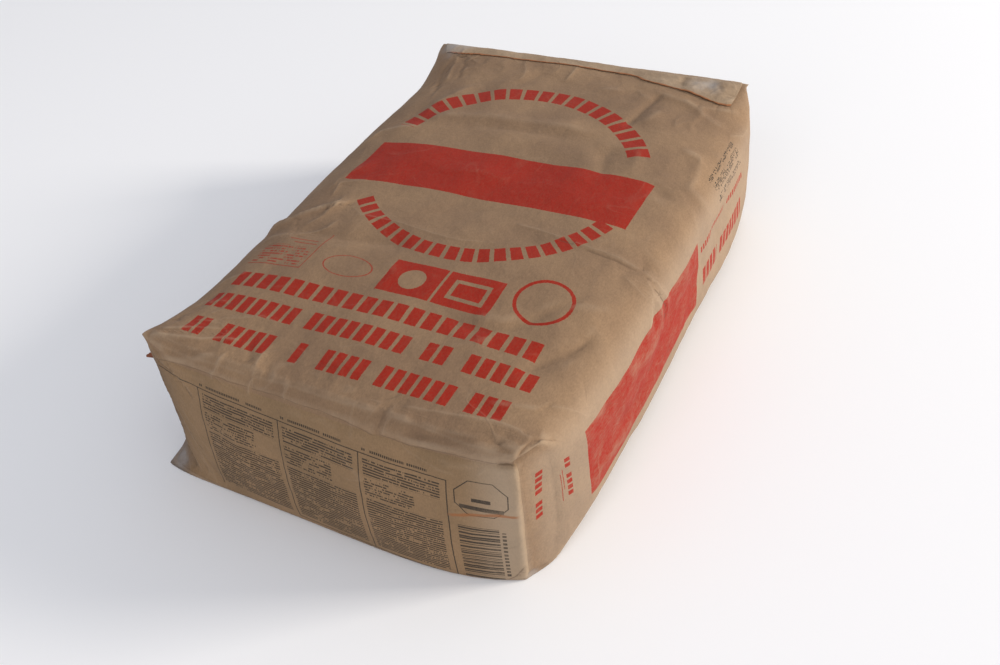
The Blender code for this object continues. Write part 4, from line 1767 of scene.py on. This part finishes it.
@dataclass(frozen=True)
class Studio:
    """A plain pale floor under soft light. The key light is low and to the right, as the sun is."""

    floor_half: float = 8.0
    floor_paint: str = "#f4f3f1"
    sky: str = "#ffffff"
    sky_strength: float = 0.77
    sky_left: float = 0.56
    sky_right: float = 1.32
    sky_tint: str = "#dde5fa"
    lights: tuple[SoftLight, ...] = (
        SoftLight("key_light", (3.65, 2.05, 1.50), 1.0, 168, "#fff9f2"),
        SoftLight("front_light", (0.2, -3.4, 2.4), 2.0, 28, "#fbf9ff"),
    )

    def light_sky(self, graph: Graph) -> None:
        """Makes the surroundings brighter on the right than on the left, but plain to the camera.

        Args:
            graph: The world's graph.
        """
        seen = graph.add("LightPath").outputs["Is Camera Ray"]
        right = graph.add("SeparateXYZ", graph.add("TexCoord").outputs["Generated"]).outputs["X"]
        white = graph.add("Math.MAXIMUM", graph.ramp(right, -1.0, 1.0), seen)
        colour = graph.tint(white, linear(self.sky_tint), self.sky)
        ends = (self.sky_strength * share for share in (self.sky_left, self.sky_right))
        strength = graph.add("Mix", seen, graph.ramp(right, -1.0, 1.0, *ends), 1.0)
        graph.add("OutputWorld", graph.add("Background", colour, strength))

    def build(self) -> None:
        """Makes the floor, the lamps and the pale surroundings."""
        half, mesh = self.floor_half, bpy.data.meshes.new("studio_floor")
        corners = [(-half, -half, 0), (half, -half, 0), (half, half, 0), (-half, half, 0)]
        mesh.from_pydata(corners, [], [(0, 1, 2, 3)])
        floor = new_object("studio_floor", mesh)
        graph = Graph(bpy.data.materials.new("matt_white_paint"))
        paint = graph.add("BsdfPrincipled", linear(self.floor_paint), sockets={"Roughness": 0.9})
        graph.add("OutputMaterial", paint)
        mesh.materials.append(graph.owner)  # matt paint: no shine, so that only the soft shadow shows
        for light in self.lights:
            light.build()
        world = bpy.data.worlds.new("studio_sky")
        bpy.context.scene.world = world
        self.light_sky(Graph(world))
        bpy.context.scene.view_settings.view_transform = "Standard"


def dress(obj: bpy.types.Object, slot: str, finish: bpy.types.Material, *nodes: str) -> None:
    """Makes a piece ride on the sack's one body, in place of its CAD nodes, and dresses it.

    Args:
        obj: The piece.
        slot: The record's material slot.
        finish: Its material.
        nodes: CAD nodes that it stands for.
    """
    obj.data.materials.append(finish)
    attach(obj, "root")
    if nodes:
        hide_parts(*nodes)
    LOG.info("%s: %d faces, slot %s", obj.name, len(obj.data.polygons), slot)


def main() -> None:
    """Builds the pieces in order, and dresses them."""
    logging.basicConfig(level=logging.INFO, format="%(message)s")
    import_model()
    PhotoCamera().build()
    form = SackForm()
    skin = SackSkin(form, Relief(form))
    sack = skin.arrays().build()
    dress(sack, "kraft_paper", PrintedSack("printed_sack_kraft").made(), "paper_sack", "cement_fill")
    near = CoverSheet(skin, "near_cover_sheet", -1, left=4, right=10, top=2, tucked=3, tuck=0.0012)
    cover = PrintedCover("printed_cover_kraft", base="#8e7254", deep="#82694d")
    dress(near.build(), "cover_paper", cover.made(), "near_end_cover")
    far = LappedSheet(skin, "far_cover_sheet", 1, left=6, right=5)
    plain = KraftPaper("plain_cover_kraft", base="#a18a70", deep="#8f785f")
    dress(far.build(), "cover_paper", plain.made(), "far_end_cover")
    brown = KraftPaper("brown_valve_kraft", base="#84492c", deep="#6a3820", rubbed="#9a6648").made()
    dress(ValveTube().build(), "valve_paper", brown, "valve_sleeve")
    dress(ValveTongue().build(), "valve_paper", brown)
    Studio().build()


if __name__ == "__main__":
    main()
